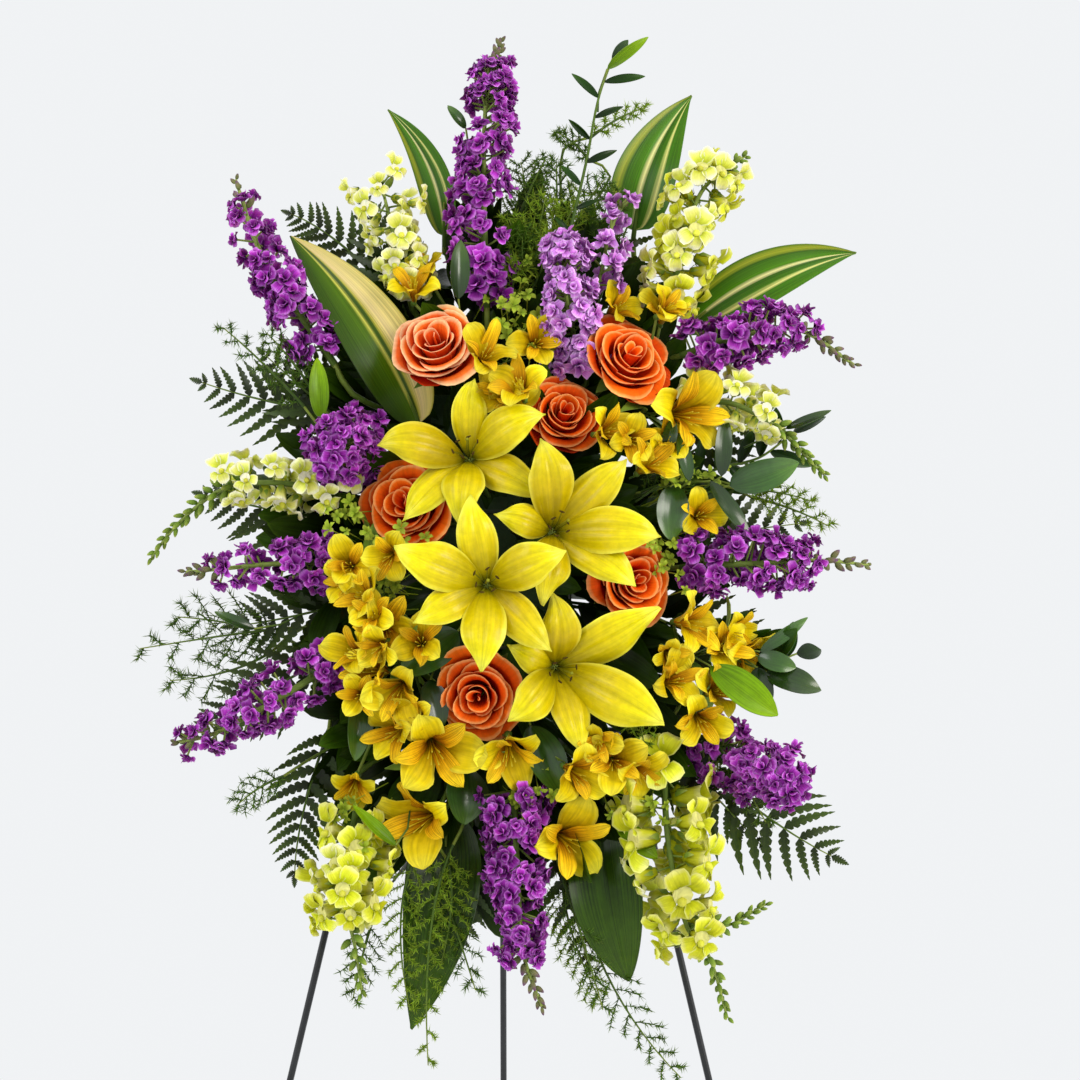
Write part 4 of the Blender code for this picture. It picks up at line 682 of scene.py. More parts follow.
def lily_heart(throat, looks, rng):
    """Six filaments round the throat with an anther lying across each, and the style with its stigma."""
    side, other = frames(looks, UP)
    turn = np.arange(6) * math.pi / 3.0 + 0.3
    out = np.cos(turn)[:, None] * side + np.sin(turn)[:, None] * other
    lift = rng.uniform(0.022, 0.030, 6)[:, None]
    ends = throat + looks * lift + out * rng.uniform(0.007, 0.012, 6)[:, None]
    paths = np.stack((throat + out * 0.002, throat + looks * 0.5 * lift + out * 0.005, ends), axis=1)
    lying = unit(np.cross(out, looks) + rng.normal(0.0, 0.6, (6, 1)) * out + 0.3 * looks)
    style = throat + looks * STYLE_RISE + side * STYLE_ASIDE
    return [
        tubes(paths, 0.0006, 6, material=2),
        ovals(ends - lying * ANTHER_LENGTH / 2.0, lying, ANTHER_LENGTH, ANTHER_RADIUS,
              rng.uniform(size=6), material=1),
        tubes(style[None], 0.0008, 6, material=2),
        ovals(style[-1:] - looks * 0.001, looks[None], 0.003, 0.0017, np.array((0.5,)), 2),
    ]


def lily(name, place, tips, seed):
    """The tepals, what stands in the throat, the neck behind it and the stem."""
    rng = np.random.default_rng(seed)
    x, z, depth = metres(place)
    middle = seen(x, z, depth)
    looks = outward(x, z)
    throat = middle - looks * THROAT
    parts = [lily_tepals(middle, throat, looks, depth, metres(tips), rng)]
    parts.extend(lily_heart(throat, looks, rng))
    parts.append(tubes((throat - looks * NECK_BACK)[None], NECK_RADII, 8, material=3))
    parts.append(stem_to(throat - looks * 0.010, approach=looks, material=3))
    materials = (lily_petal, anther_brown, filament_green, stem_green)
    return piece(f"{name}_bloom", parts, materials, (name,))


for lily_name, lily_plan in LILIES.items():
    lily(lily_name, **lily_plan)

# %% [markdown]
# ## Roses
# A rose is a spiral of shells. Petal after petal stands a golden angle further round, and each one is
# wider, lower and more open than the one before. The lip of every petal rolls back, which shows its paler
# rim, partly a painted highlight, and makes grooves between the lips, which painted shade at the petals'
# roots darkens.

# %% Rose tissue
rose_petal = tissue(
    "garden rose petal, grown, velvet surface",     # coral orange, painted shade deep in the folds, a pale lip partly painted highlight
    # the dark red root is painted shade in the folds; the pale rim is partly the lip's own colour and partly
    # painted highlight
    ((0.0, "#6e0c01"), (0.45, "#bc2402"), (0.72, "#e04004"), (0.90, "#f05a0e"), (1.0, "#f4741e")),
    rim="#ffb872", rim_from=0.945, rim_share=0.80, under="#e04808", roughness=0.62, soft=0.10,
    veins=12.0, vein_shade=0.10, vein_depth=0.0003, spread=0.16, gloss=0.05,
)
# a lighter copy of the rose petal for the top left rose: its lighter colour is partly painted light, its
# cream lip partly a painted highlight
pale_rose_petal_painted_light = tissue(
    "garden rose petal with a pale lip, grown",     # lighter coral velvet, partly painted light, with a broad cream lip, partly painted highlight
    ((0.0, "#7a1402"), (0.45, "#cc3606"), (0.72, "#ee5612"), (0.90, "#f67028"), (1.0, "#fa8c44")),
    rim="#ffd8a4", rim_from=0.91, rim_share=0.85, under="#ee5c1c", roughness=0.62, soft=0.10,
    veins=12.0, vein_shade=0.10, vein_depth=0.0003, spread=0.14, gloss=0.05,
)
# guard petals: their deeper red is partly painted shade under the bloom
rose_guard_painted_shade = tissue(
    "rose guard petal, grown, weathered",           # the outermost petals, a little crumpled, their deeper red partly painted shade
    ((0.0, "#820c02"), (0.6, "#b81c06"), (1.0, "#d24412")), under="#a81e06", roughness=0.60, soft=0.10,
    veins=9.0, vein_shade=0.20, vein_depth=0.0003, spread=0.20, gloss=0.05,
)
sepal_green = tissue(
    "rose sepal, grown, matt",                      # dull green under the bloom
    ((0.0, "#42601f"), (1.0, "#5c7a30")), roughness=0.55, vein_shade=0.15,
)

# %% Six roses
ROSES = {          # x, z, depth and radius in millimetres, and where red guard petals stand, in degrees
    "rose_top_left": dict(place=(-55, 190, 112, 41), guards=(-100,), seed=1135, petal=pale_rose_petal_painted_light),
    "rose_top_right": dict(place=(114, 178, 105, 40), guards=(-75, -30), seed=1292),
    "rose_centre": dict(place=(57, 129, 100, 35), guards=(-80, 8, -130), seed=1186),
    "rose_left": dict(place=(-81, 50, 98, 41), guards=(-60,), seed=969),
    "rose_right": dict(place=(119, -18, 100, 38), guards=(150,), seed=1101),
    "rose_low": dict(place=(-18, -119, 108, 40), guards=(8,), seed=863),
}
ROSE_PETALS = 20
LIP_FROM = 0.72         # where a petal starts to roll back, as a share of the way to its edge
PETAL_BASE = -0.55      # how far the petals' feet lie behind the rose's middle, in radii
ROSE_GRID = (14, 13)
ROSE_CROWD = 1.4        # the rows of a petal's grid stand closer towards its lip, which is all that shows


def rose_sheets(rng):
    """Petal k of a rose of radius 1, at k golden angles. Its profile runs out and up from the base as
    out = lip * sin(u) and up = base + (top - base) * u^1.5, its lip rolls back near u = 1, its sides are
    shorter than its middle, and one side stands a little further out than the other."""
    order = np.linspace(0.0, 1.0, ROSE_PETALS)[:, None, None]
    u = 1.0 - (1.0 - np.linspace(0.0, 1.0, ROSE_GRID[0])[None, :, None]) ** ROSE_CROWD
    v = np.linspace(-1.0, 1.0, ROSE_GRID[1])[None, None, :]
    jitter = rng.normal(0.0, 1.0, (4, ROSE_PETALS, 1, 1))
    lip = 0.05 + 0.82 * order ** 0.80 + 0.030 * jitter[0]
    top = 0.46 - 0.40 * order ** 1.5 + 0.040 * jitter[1]
    span = 1.66 - 0.66 * order ** 0.6
    roll = 0.05 + 0.17 * order ** 0.9 + 0.028 * jitter[2]
    reach = u * (1.0 - 0.24 * np.abs(v) ** 2.6)
    rolled = np.clip((reach - LIP_FROM) / (1.0 - LIP_FROM), 0.0, 1.0) ** 2 * (1.0 + 0.35 * np.abs(v))
    wave = 0.040 * np.sin(4.0 * v + 9.0 * jitter[3]) * reach ** 4 * (0.4 + order)
    out = 0.04 + (lip - 0.04) * np.sin(0.5 * math.pi * reach ** 0.75) + roll * rolled
    out = out + 0.05 * v * order ** 0.5 * reach + wave
    rise = PETAL_BASE + (top - PETAL_BASE) * reach ** 1.5 - roll * 0.9 * rolled + wave
    angle = GOLDEN_ANGLE * np.arange(ROSE_PETALS)[:, None, None] + 0.1 * jitter[0] + v * span
    return np.stack((out * np.cos(angle), out * np.sin(angle), rise), axis=-1), u.ravel(), v.ravel()


GUARD = dict(root=(0.10, -0.50), bend=(0.80, -0.42), tip=(1.08, -0.10), width=0.85, wander=0.08)
GUARD_FORM = dict(grid=(12, 9), outline=(0.55, 0.30, 0.10), cup=0.25, ripple=0.06, waves=1.4,
                  thickness=0.0007)
SEPALS = dict(count=5, root=(0.08, -0.60), bend=(0.55, -0.72), tip=(0.95, -0.45), width=0.30)
SEPAL_FORM = dict(grid=(6, 4), outline=(0.5, 1.0), cup=0.2, thickness=0.0008, keen=True)


def rose(name, place, guards, seed, petal=rose_petal):
    """The spiral of petals turned to where the rose looks, red guard petals at given degrees round it,
    five sepals, and the stem."""
    rng = np.random.default_rng(seed)
    x, z, depth, radius = metres(place)
    middle = seen(x, z, depth)
    looks = outward(x, z)
    side, other = frames(looks, UP)
    sheets, u, v = rose_sheets(rng)
    turned = middle + radius * sheets @ np.stack((side, other, looks))
    parts = [shells(turned, u, v, 0.0007, rng.uniform(size=ROSE_PETALS))]
    parts.append(whorl(middle[None], looks[None], radius, SEPALS, SEPAL_FORM, rng, material=1))
    outer = dict(GUARD, angles=guards)
    parts.append(whorl(middle[None], looks[None], radius, outer, GUARD_FORM, rng, turn=0.0, material=3))
    neck = middle - looks * radius * 0.52
    parts.append(ovals((neck - looks * 0.012)[None], looks[None], 0.016, 0.0065, np.array((0.5,)), 1))
    parts.append(stem_to(neck - looks * 0.006, approach=looks, material=2))
    materials = (petal, sepal_green, stem_green, rose_guard_painted_shade)
    return piece(f"{name}_bloom", parts, materials, (name,))


for rose_name, rose_plan in ROSES.items():
    rose(rose_name, **rose_plan)

# %% [markdown]
# ## Stock
# A stem of stock is a column of double florets, each a crumpled rosette of a dozen small petals, packed
# so close that the column looks like one ruffled mass. Towards the tip they become tight green buds.

# %% Stock tissue
# stock: the pale rim is a painted highlight and the dark root painted shade in the folds
stock_petal = tissue(
    "stock petal, grown, matt and crumpled",        # strong purple, painted highlight at the rim, painted shade in the folds
    ((0.0, "#3e0846"), (0.4, "#76187e"), (0.8, "#9a32a2"), (1.0, "#b45cbe")),
    rim="#cc8cd6", rim_from=0.74, rim_share=0.46, roughness=0.60, soft=0.12,
    veins=5.0, vein_shade=0.28, vein_depth=0.0003, spread=0.48, gloss=0.06,
)
# as the stock: the whitish rim is a painted highlight and the darker root painted shade
pale_stock_petal = tissue(
    "pale stock petal, grown, matt and crumpled",   # lavender, a whitish painted highlight at the rim, painted shade at the root
    ((0.0, "#86328c"), (0.4, "#b25eba"), (0.8, "#d088da"), (1.0, "#e6b4ec")),
    rim="#eccaf0", rim_from=0.80, rim_share=0.5, roughness=0.60, soft=0.12,
    veins=5.0, vein_shade=0.24, vein_depth=0.0003, spread=0.32, gloss=0.06,
)
stock_bud = tissue(
    "stock bud, grown, downy",                      # grey green with a purple tip
    ((0.0, "#66753a"), (0.55, "#6f6a4a"), (1.0, "#6a2f74")), roughness=0.7, vein_shade=0.15,
)

# %% Places along a spike
def spike_axis(axis):
    """A spike's axis in the room, from its places as seen and how far ahead of the dome they stand."""
    x, z, ahead = metres(axis).T
    return seen(x, z, dome(x, z) + ahead)


def round_axis(path, shares, start, rng):
    """For each share: its place on the path, the way the path runs there, and the way out at one golden
    angle after the other."""
    place = at_shares(path, shares)
    before, after = np.maximum(shares - 0.02, 0.0), np.minimum(shares + 0.02, 1.0)
    way = unit(at_shares(path, after) - at_shares(path, before))
    side, other = frames(way, np.array((0.3, 0.5, 0.81)))
    turn = start + GOLDEN_ANGLE * np.arange(len(shares)) + rng.uniform(-0.3, 0.3, len(shares))
    return place, way, np.cos(turn)[:, None] * side + np.sin(turn)[:, None] * other


def clustered(clusters, rng):
    """Shares of the axis, evenly through each cluster, and how much each lot leans to the viewer's right.
    A cluster is a start, an end, a number, and its lean if it has one."""
    shares, leans = [], []
    for start, end, count, *lean in clusters:
        shares.append(np.linspace(start, end, count) + rng.normal(0.0, 0.004, count))
        leans.append(np.full(count, lean[0] if lean else 0.0))
    return np.clip(np.concatenate(shares), 0.0, 1.0), np.concatenate(leans)


print("four florets stand at", clustered(((0.1, 0.7, 4),), np.random.default_rng(0))[0].round(2))

# %% Florets of stock
FLORET_WHORLS = (
    dict(count=5, root=(0.02, -0.10), bend=(0.62, 0.42), tip=(1.02, 0.06), width=1.00, wander=0.24),
    dict(count=4, root=(0.02, 0.00), bend=(0.42, 0.62), tip=(0.76, 0.46), width=0.86, wander=0.28,
         start=0.6),
    dict(count=3, root=(0.02, 0.10), bend=(0.15, 0.72), tip=(0.38, 0.80), width=0.68, wander=0.34,
         start=0.2),
)
CRUMPLED = dict(grid=(4, 3), crowd=1.6, outline=(0.7, 0.30, 0.42), cup=0.35, ripple=0.13, waves=1.1,
                thickness=0.0006, twist=0.5, keen=True)
FLORET_SIZE = 0.0104
CROWN_FLORETS = 12


def stock_florets(path, clusters, spread, rng):
    """Rosettes on short stalks round the axis, some nearer and some further out, smaller at the tip."""
    shares, leans = clustered(clusters, rng)
    place, way, out = round_axis(path, shares, 0.0, rng)
    out = unit(out + leans[:, None] * RIGHT)
    taper = 1.0 - 0.32 * shares
    looks = unit(out + way * (0.25 + 0.75 * shares ** 3)[:, None] + rng.normal(0.0, 0.16, out.shape))
    far = spread * taper * rng.uniform(0.36, 0.68, len(shares)) * (1.0 + 0.35 * np.abs(leans))
    centre = place + looks * far[:, None]
    size = FLORET_SIZE * taper * rng.uniform(0.80, 1.18, len(shares))
    return [*(whorl(centre, looks, size, rule, CRUMPLED, rng) for rule in FLORET_WHORLS),
            stalks(place, centre)]


def crown_florets(path, spread, rng):
    """Rosettes over the end of a short fat spike: directions at golden angles round its way, from
    nearly ahead to nearly sideways."""
    tilt = np.radians(np.linspace(8.0, 72.0, CROWN_FLORETS))[:, None]
    way = unit(path[-1] - path[-2])[None]
    side, other = frames(way, UP)
    turn = (GOLDEN_ANGLE * np.arange(CROWN_FLORETS))[:, None]
    looks = way * np.cos(tilt) + (np.cos(turn) * side + np.sin(turn) * other) * np.sin(tilt)
    centre = path[-1] + looks * spread * 0.50
    size = FLORET_SIZE * rng.uniform(0.75, 1.05, CROWN_FLORETS)
    return [whorl(centre, looks, size, rule, CRUMPLED, rng) for rule in FLORET_WHORLS]


print("petals of one floret:", sum(rule["count"] for rule in FLORET_WHORLS))

# %% Buds at the end of a spike
def tip_buds(path, first, count, length, lean, rng):
    """Buds round the last stretch of a spike, ever smaller and closer to the axis."""
    shares = np.linspace(first, 0.995, count)
    place, way, out = round_axis(path, shares, 1.0, rng)
    direction = unit(out + way * (lean + 1.5 * (shares - first) / (1.001 - first))[:, None])
    size = length * np.linspace(1.0, 0.55, count)
    stalk = place + direction * (0.30 * size)[:, None]
    return [
        ovals(stalk, direction, size, size * 0.26, rng.uniform(size=count), material=2),
        stalks(place, stalk, 0.0006, material=2),
    ]


print("a bud has", len(ovals(np.zeros((1, 3)), RIGHT[None], 1.0, 1.0, np.zeros(1))["faces"]), "faces")

# %% Ten stems of stock
STOCKS = {      # the axis as x, z and how far ahead of the dome, the clusters of florets, and the buds
    "stock_top": dict(
        axis=((-11, 222, -30), (-14, 330, 0), (-12, 405, 0), (0, 457, 0)),
        clusters=((0.02, 0.14, 14), (0.17, 0.30, 12, -0.9), (0.33, 0.55, 36, -0.3),
                  (0.55, 0.74, 18, 1.1), (0.68, 0.83, 26, -0.2)),
        spread=37, buds=18, first_bud=0.82,
    ),
    "stock_top_left": dict(
        axis=((-145, 172, -35), (-207, 264, 0), (-233, 334, 0)),
        clusters=((0.05, 0.50, 40), (0.55, 0.68, 9), (0.74, 0.84, 6)), spread=35, buds=9,
    ),
    "stock_upper_right": dict(
        axis=((160, 180, -30), (205, 196, 10), (262, 203, 0), (311, 172, 0)),
        clusters=((0.05, 0.42, 36), (0.46, 0.62, 16)), spread=37, buds=20, first_bud=0.66,
    ),
    "stock_left_front": dict(
        axis=((-120, 92, -65), (-132, 97, -30), (-140, 100, 10)), clusters=((0.10, 1.00, 64),), spread=56,
        buds=0,
    ),
    "stock_left": dict(
        axis=((-125, 0, -50), (-200, -3, 5), (-250, -8, 0), (-275, -10, 0)),
        clusters=((0.10, 0.44, 30), (0.53, 0.66, 10), (0.76, 0.82, 4)), spread=36, buds=11,
    ),
    "stock_low_left": dict(
        axis=((-135, -85, -40), (-200, -125, 10), (-250, -152, 0), (-284, -160, 0)),
        clusters=((0.05, 0.22, 17), (0.34, 0.60, 23), (0.70, 0.80, 8), (0.88, 0.93, 4)), spread=37,
        buds=9,
    ),
    "stock_right": dict(
        axis=((160, -6, -35), (215, -3, 10), (279, 0, 0), (324, -4, 0)), clusters=((0.04, 0.64, 62),),
        spread=42, buds=14, first_bud=0.70,
    ),
    "stock_low_right": dict(
        axis=((160, -150, -70), (215, -180, -25), (244, -190, 30)), clusters=((0.12, 1.00, 60),),
        spread=50, buds=0,
    ),
    "stock_bottom": dict(
        axis=((13, -195, -30), (18, -290, 0), (22, -345, 0), (38, -392, 0)),
        clusters=((0.02, 0.30, 34), (0.33, 0.52, 24), (0.56, 0.73, 24)), spread=42, buds=18,
        first_bud=0.72,
    ),
}


def stock(name, axis, clusters, spread, buds, seed, petal=stock_petal, slot="stock_petal", first_bud=0.80,
          extra=()):
    """The stem, the axis with its florets, and the buds at the tip. A spike without buds ends in a crown
    of florets."""
    rng = np.random.default_rng(seed)
    path = smooth_path(spike_axis(axis), 24)
    parts = stock_florets(path, clusters, metres(spread), rng)
    if buds:
        parts.extend(tip_buds(path, first_bud, buds, 0.0125, 0.7, rng))
    else:
        parts.extend(crown_florets(path, metres(spread), rng))
    parts.append(tubes(path[None], np.linspace(0.0034, 0.0014, 24), 6, material=1))
    parts.append(stem_under(path, material=3))
    parts.extend(extra)
    return piece(f"{name}_spike", parts, (petal, axis_green, stock_bud, stem_green), (name,))


make_all(stock, STOCKS, 40)

# %% The pale stock with its side branch
branch_rng = np.random.default_rng(61)
branch_path = smooth_path(spike_axis(((60, 225, 10), (85, 240, 0), (98, 292, 0), (112, 318, 0))), 16)
branch = [
    *stock_florets(branch_path, ((0.30, 0.62, 10, 0.6), (0.72, 0.90, 6)), 0.026, branch_rng),
    *tip_buds(branch_path, 0.86, 5, 0.008, 0.9, branch_rng),
    tubes(branch_path[None], 0.0016, 6, material=1),
]
stock(
    "stock_pale", axis=((72, 170, -40), (60, 225, 10), (58, 262, 20)), clusters=((0.03, 1.00, 86),),
    spread=42, buds=0, seed=60, petal=pale_stock_petal, slot="pale_stock_petal", extra=branch,
)

# %% [markdown]
# ## Snapdragons
# A snapdragon floret is a short tube that ends in two lips: two lobes stand up, three hang down, and a
# yellow swelling closes the mouth between them. The florets open from the bottom of the spike upwards,
# and the top is a string of green buds.

# %% Snapdragon tissue
snap_petal = tissue(
    "snapdragon petal, grown, matt",                # cream, greener towards the tube
    ((0.0, "#9aa624"), (0.35, "#cad044"), (0.75, "#e6e680"), (1.0, "#f4f2be")),
    rim="#fbf8de", rim_from=0.74, rim_share=0.6, roughness=0.50, soft=0.15,
    veins=6.0, vein_shade=0.12, vein_depth=0.0002, spread=0.12, gloss=0.08,
)
snap_lime = tissue(
    "lime snapdragon petal, grown, matt",           # yellow lime with a pale edge
    ((0.0, "#90980c"), (0.35, "#bcc016"), (0.75, "#d6d836"), (1.0, "#e8e670")),
    rim="#f2f0a4", rim_from=0.78, rim_share=0.5, roughness=0.50, soft=0.15,
    veins=6.0, vein_shade=0.14, vein_depth=0.0002, spread=0.22, gloss=0.08,
)
snap_palate = tissue(
    "snapdragon palate, grown, downy",              # clear yellow in the mouth
    ((0.0, "#c6c832"), (1.0, "#dcdc50")), roughness=0.65, soft=0.2, vein_shade=0.08,
)
snap_bud = tissue(
    "snapdragon bud, grown, downy",                 # fresh green, yellower at its tip
    ((0.0, "#4a671c"), (0.6, "#728a2e"), (1.0, "#adb75c")), roughness=0.6, vein_shade=0.12,
)

# %% Florets with two lips
MOUTH = (0.30, 0.62)        # how far out and ahead the lobes start, in floret sizes
LIPS = (
    dict(angles=(62, 118), root=MOUTH, bend=(0.62, 1.15), tip=(1.12, 0.95), width=0.95, wander=0.08),
    dict(angles=(-90,), root=MOUTH, bend=(0.60, 0.95), tip=(1.05, 0.35), width=0.80, wander=0.08),
    dict(angles=(-38, -142), root=MOUTH, bend=(0.62, 0.98), tip=(0.98, 0.45), width=0.80, wander=0.08),
)
LIP_FORM = dict(grid=(6, 6), crowd=1.5, outline=(0.5, 0.28, 0.12), cup=0.30, ripple=0.09, waves=1.2,
                thickness=0.0007, keen=True)
CALYX = dict(count=5, root=(0.10, -0.30), bend=(0.40, -0.15), tip=(0.42, 0.30), width=0.30)
CALYX_FORM = dict(grid=(3, 3), outline=(0.5, 0.8, 0.1), thickness=0.0006, keen=True)
TUBE_STEPS = np.array((-0.30, 0.0, 0.35, 0.72))         # a floret's tube from its foot to its mouth
TUBE_RADII = (0.20, 0.30, 0.34, 0.40)


def snapdragon_florets(path, clusters, spread, size, cream_from, rng):
    """For each floret a stalk, a tube out of its calyx, five lobes round its mouth and the palate. Beyond
    a share of the axis every third floret is creamy white, the others are as the spike's own petals."""
    shares, leans = clustered(clusters, rng)
    place, way, out = round_axis(path, shares, 0.5, rng)
    out = unit(out + leans[:, None] * RIGHT)
    looks = unit(out + way * 0.10 + TO_VIEWER * 0.25 + rng.normal(0.0, 0.12, out.shape))
    size = size * (1.0 - 0.30 * shares) * rng.uniform(0.82, 1.12, len(shares))
    base = place + looks * (spread * rng.uniform(0.12, 0.50, len(shares)))[:, None]
    up = unit(np.broadcast_to(np.array((0.0, 0.0, 1.0)), way.shape) + 0.4 * way)
    parts = [stalks(place, base, material=5)]
    for creamy in (False, True):
        mine = ((np.arange(len(shares)) % 3 == 1) & (shares > cream_from)) == creamy
        parts.extend(whorl(base[mine], looks[mine], size[mine], rule, LIP_FORM, rng, up=up[mine], turn=0.0,
                           material=4 * creamy) for rule in LIPS)
    steps = TUBE_STEPS[None, :, None] * size[:, None, None]
    parts.append(tubes(base[:, None] + looks[:, None] * steps, size[:, None] * TUBE_RADII, 8))
    under = -frames(looks, up)[1]
    mouth = base + looks * (MOUTH[1] * size)[:, None] + under * (0.18 * size)[:, None]
    seeds = rng.uniform(size=len(base))
    parts.append(ovals(mouth, unit(looks + under * 0.4), size * 0.40, size * 0.20, seeds, material=1))
    parts.append(whorl(base, looks, size, CALYX, CALYX_FORM, rng, material=2))
    return parts


print("lobes of one floret:", sum(len(rule["angles"]) for rule in LIPS))


# %% Six stems of snapdragon
SNAPDRAGONS = {     # as for stock, with the size of a floret
    "snapdragon_top_left": dict(
        axis=((-80, 235, -45), (-94, 290, 0), (-104, 330, 0)), clusters=((0.05, 1.00, 22),), spread=50,
        size=15.5, first_bud=0.93, buds=4,
    ),
    "snapdragon_top_right": dict(
        axis=((150, 222, -40), (160, 270, 0), (178, 325, 0), (216, 356, 0)), clusters=((0.04, 0.82, 27),),
        spread=36, size=18.5, first_bud=0.76, buds=14, petal=snap_lime,
    ),
    "snapdragon_right": dict(
        axis=((165, 138, -40), (205, 138, 0), (245, 116, 0), (285, 76, 0)), clusters=((0.06, 0.62, 14),),
        spread=36, size=15.5, first_bud=0.56, buds=26,
    ),
    "snapdragon_left": dict(
        axis=((-136, 56, -45), (-190, 68, 0), (-240, 64, 0), (-280, 35, 0), (-306, 3, 0)),
        clusters=((0.06, 0.56, 15),), spread=38, size=15.5, first_bud=0.48, buds=34,
    ),
    "snapdragon_low_left": dict(
        axis=((-125, -215, -30), (-135, -290, 0), (-126, -340, 0), (-120, -380, 0)),
        clusters=((0.12, 0.34, 8, 0.5), (0.36, 0.62, 11)), spread=52, size=19.5, first_bud=0.66, buds=16,
        petal=snap_lime, cream_from=0.30,
    ),
    "snapdragon_low_right": dict(
        axis=((145, -185, -40), (150, -250, 0), (165, -320, 0), (186, -350, 0), (201, -402, 0)),
        clusters=((0.02, 0.66, 19),), spread=44, size=24, first_bud=0.60, buds=28, petal=snap_lime,
        cream_from=0.28, arms=(((160, -305, 0), (196, -322, 0), (236, -302, 0)),),
    ),
}


def snapdragon(name, axis, clusters, spread, size, first_bud, buds, seed, petal=snap_petal,
               cream_from=0.0, arms=()):
    """The stem, the open florets, the string of buds, and side arms that carry buds only."""
    rng = np.random.default_rng(seed)
    path = smooth_path(spike_axis(axis), 24)
    parts = snapdragon_florets(path, clusters, metres(spread), metres(size), cream_from, rng)
    parts.extend(tip_buds(path, first_bud, buds, 0.0125, 0.5, rng))
    parts.append(tubes(path[None], np.linspace(0.0030, 0.0011, 24), 6, material=5))
    for arm in arms:
        twig = smooth_path(spike_axis(arm), 16)
        parts.extend(tip_buds(twig, 0.25, 24, 0.0115, 0.5, rng))
        parts.append(tubes(twig[None], np.linspace(0.0018, 0.0009, 16), 6, material=5))
    parts.append(stem_under(path, material=3))
    materials = (petal, snap_palate, snap_bud, stem_green, snap_petal, axis_green)
    return piece(f"{name}_spike", parts, materials, (name,))


make_all(snapdragon, SNAPDRAGONS, 80)

# %% [markdown]
# ## Alstroemeria
# Each stem forks into a handful of short stalks, and each stalk holds a trumpet of six tepals: three broad
# outer ones and three slim inner ones with brown dashes. Narrow twisted leaves stand below the fork.

# %% Alstroemeria tissue
alstro_petal = tissue(
    "alstroemeria tepal, grown, satin",             # golden yellow, orange brown towards the throat
    ((0.0, "#86680a"), (0.3, "#bf9c06"), (0.75, "#dac00a"), (1.0, "#dccb22")),
    rim="#efe248", rim_from=0.76, rim_share=0.60, roughness=0.46, soft=0.12,
    veins=6.0, vein_shade=0.20, vein_depth=0.0004, spread=0.20, gloss=0.08,
)
alstro_inner = tissue(
    "alstroemeria inner tepal, grown, dashed",      # brown dashes run along the yellow
    ((0.0, "#8a5208"), (0.4, "#b47a0a"), (0.7, "#d8a60e"), (1.0, "#e4c020")), roughness=0.48, soft=0.15,
    veins=16.0, vein_shade=0.55, vein_depth=0.0003, spread=0.16, gloss=0.08,
)
young_leaf = tissue(
    "alstroemeria leaf, grown, thin",               # fresh yellow green
    ((0.0, "#4f6f1c"), (1.0, "#7f9a35")), under="#90a552", roughness=0.45, soft=0.15,
    veins=8.0, vein_shade=0.18, spread=0.25,
)

# %% Seven stems of alstroemeria
ALSTROEMERIAS = {       # the fork, and each trumpet's x and z, depth and radius
    "alstroemeria_top": dict(
        fork=(-10, 165, 70),
        trumpets=((-10, 186, 150, 19), (18, 160, 146, 19), (34, 194, 116, 17), (-76, 246, 105, 17),
                  (-2, 152, 130, 18), (12, 138, 118, 16), (-66, 262, 90, 14)),
    ),
    "alstroemeria_upper_right": dict(
        fork=(125, 130, 60),
        trumpets=((108, 226, 98, 15), (146, 226, 95, 17), (172, 130, 124, 27), (137, 90, 128, 18),
                  (178, 42, 105, 16), (100, 116, 136, 18), (152, 108, 112, 15), (118, 108, 134, 16),
                  (152, 226, 108, 14)),
    ),
    "alstroemeria_left": dict(
        fork=(-100, -20, 70),
        trumpets=((-132, -2, 128, 17), (-122, -28, 132, 17), (-98, 3, 140, 16), (-112, -44, 136, 15),
                  (-140, -18, 118, 14)),
    ),
    "alstroemeria_low_left": dict(
        fork=(-80, -85, 70),
        trumpets=((-100, -58, 130, 20), (-114, -94, 122, 20), (-90, -118, 128, 19), (-68, -68, 138, 18),
                  (-96, -152, 112, 18), (-128, -200, 85, 15), (-130, -78, 116, 17), (-108, -78, 140, 15),
                  (-122, -118, 116, 15), (-76, -138, 124, 15)),
    ),
    "alstroemeria_bottom": dict(
        fork=(-35, -165, 60), trumpets=((-55, -168, 125, 27), (-72, -228, 100, 26), (10, -172, 120, 22)),
    ),
    "alstroemeria_low_right": dict(
        fork=(80, -180, 55),
        trumpets=((74, -189, 120, 20), (103, -176, 118, 20), (126, -190, 108, 17), (66, -246, 95, 25),
                  (88, -160, 126, 14)),
    ),
    "alstroemeria_right": dict(
        fork=(165, -85, 50),
        trumpets=((176, -54, 110, 19), (198, -74, 100, 19), (223, -86, 85, 18), (160, -104, 112, 18),
                  (180, -142, 98, 18), (212, -64, 94, 15), (196, -112, 98, 16), (152, -84, 116, 14)),
    ),
}
TRUMPET = 1.45          # how deep a trumpet is, in radii of its mouth
TEPALS = (
    dict(count=3, root=(0.08, -TRUMPET), bend=(0.38, 0.02), tip=(1.48, 0.02), width=1.22, wander=0.14),
    dict(count=3, root=(0.08, -TRUMPET), bend=(0.22, -0.10), tip=(1.28, 0.35), width=0.66, wander=0.14,
         start=1.05),
)
TEPAL_FORM = dict(grid=(12, 7), crowd=1.2, outline=(1.25, 0.62, 0.05), cup=0.22, ripple=0.12, waves=1.9,
                  groove=0.03, thickness=0.0007, twist=0.60, keen=True)
STALK_TURN = 2.4        # each stalk leans a golden angle further round, in radians
STAMEN = ((0.1, 0.05), (0.9, 0.10), (1.55, 0.24))       # how far ahead of the trumpet's foot, and out
FORK_LEAVES = dict(count=6, root=(0.02, 0.0), bend=(0.5, 0.30), tip=(1.0, 0.05), width=0.24, wander=0.3)
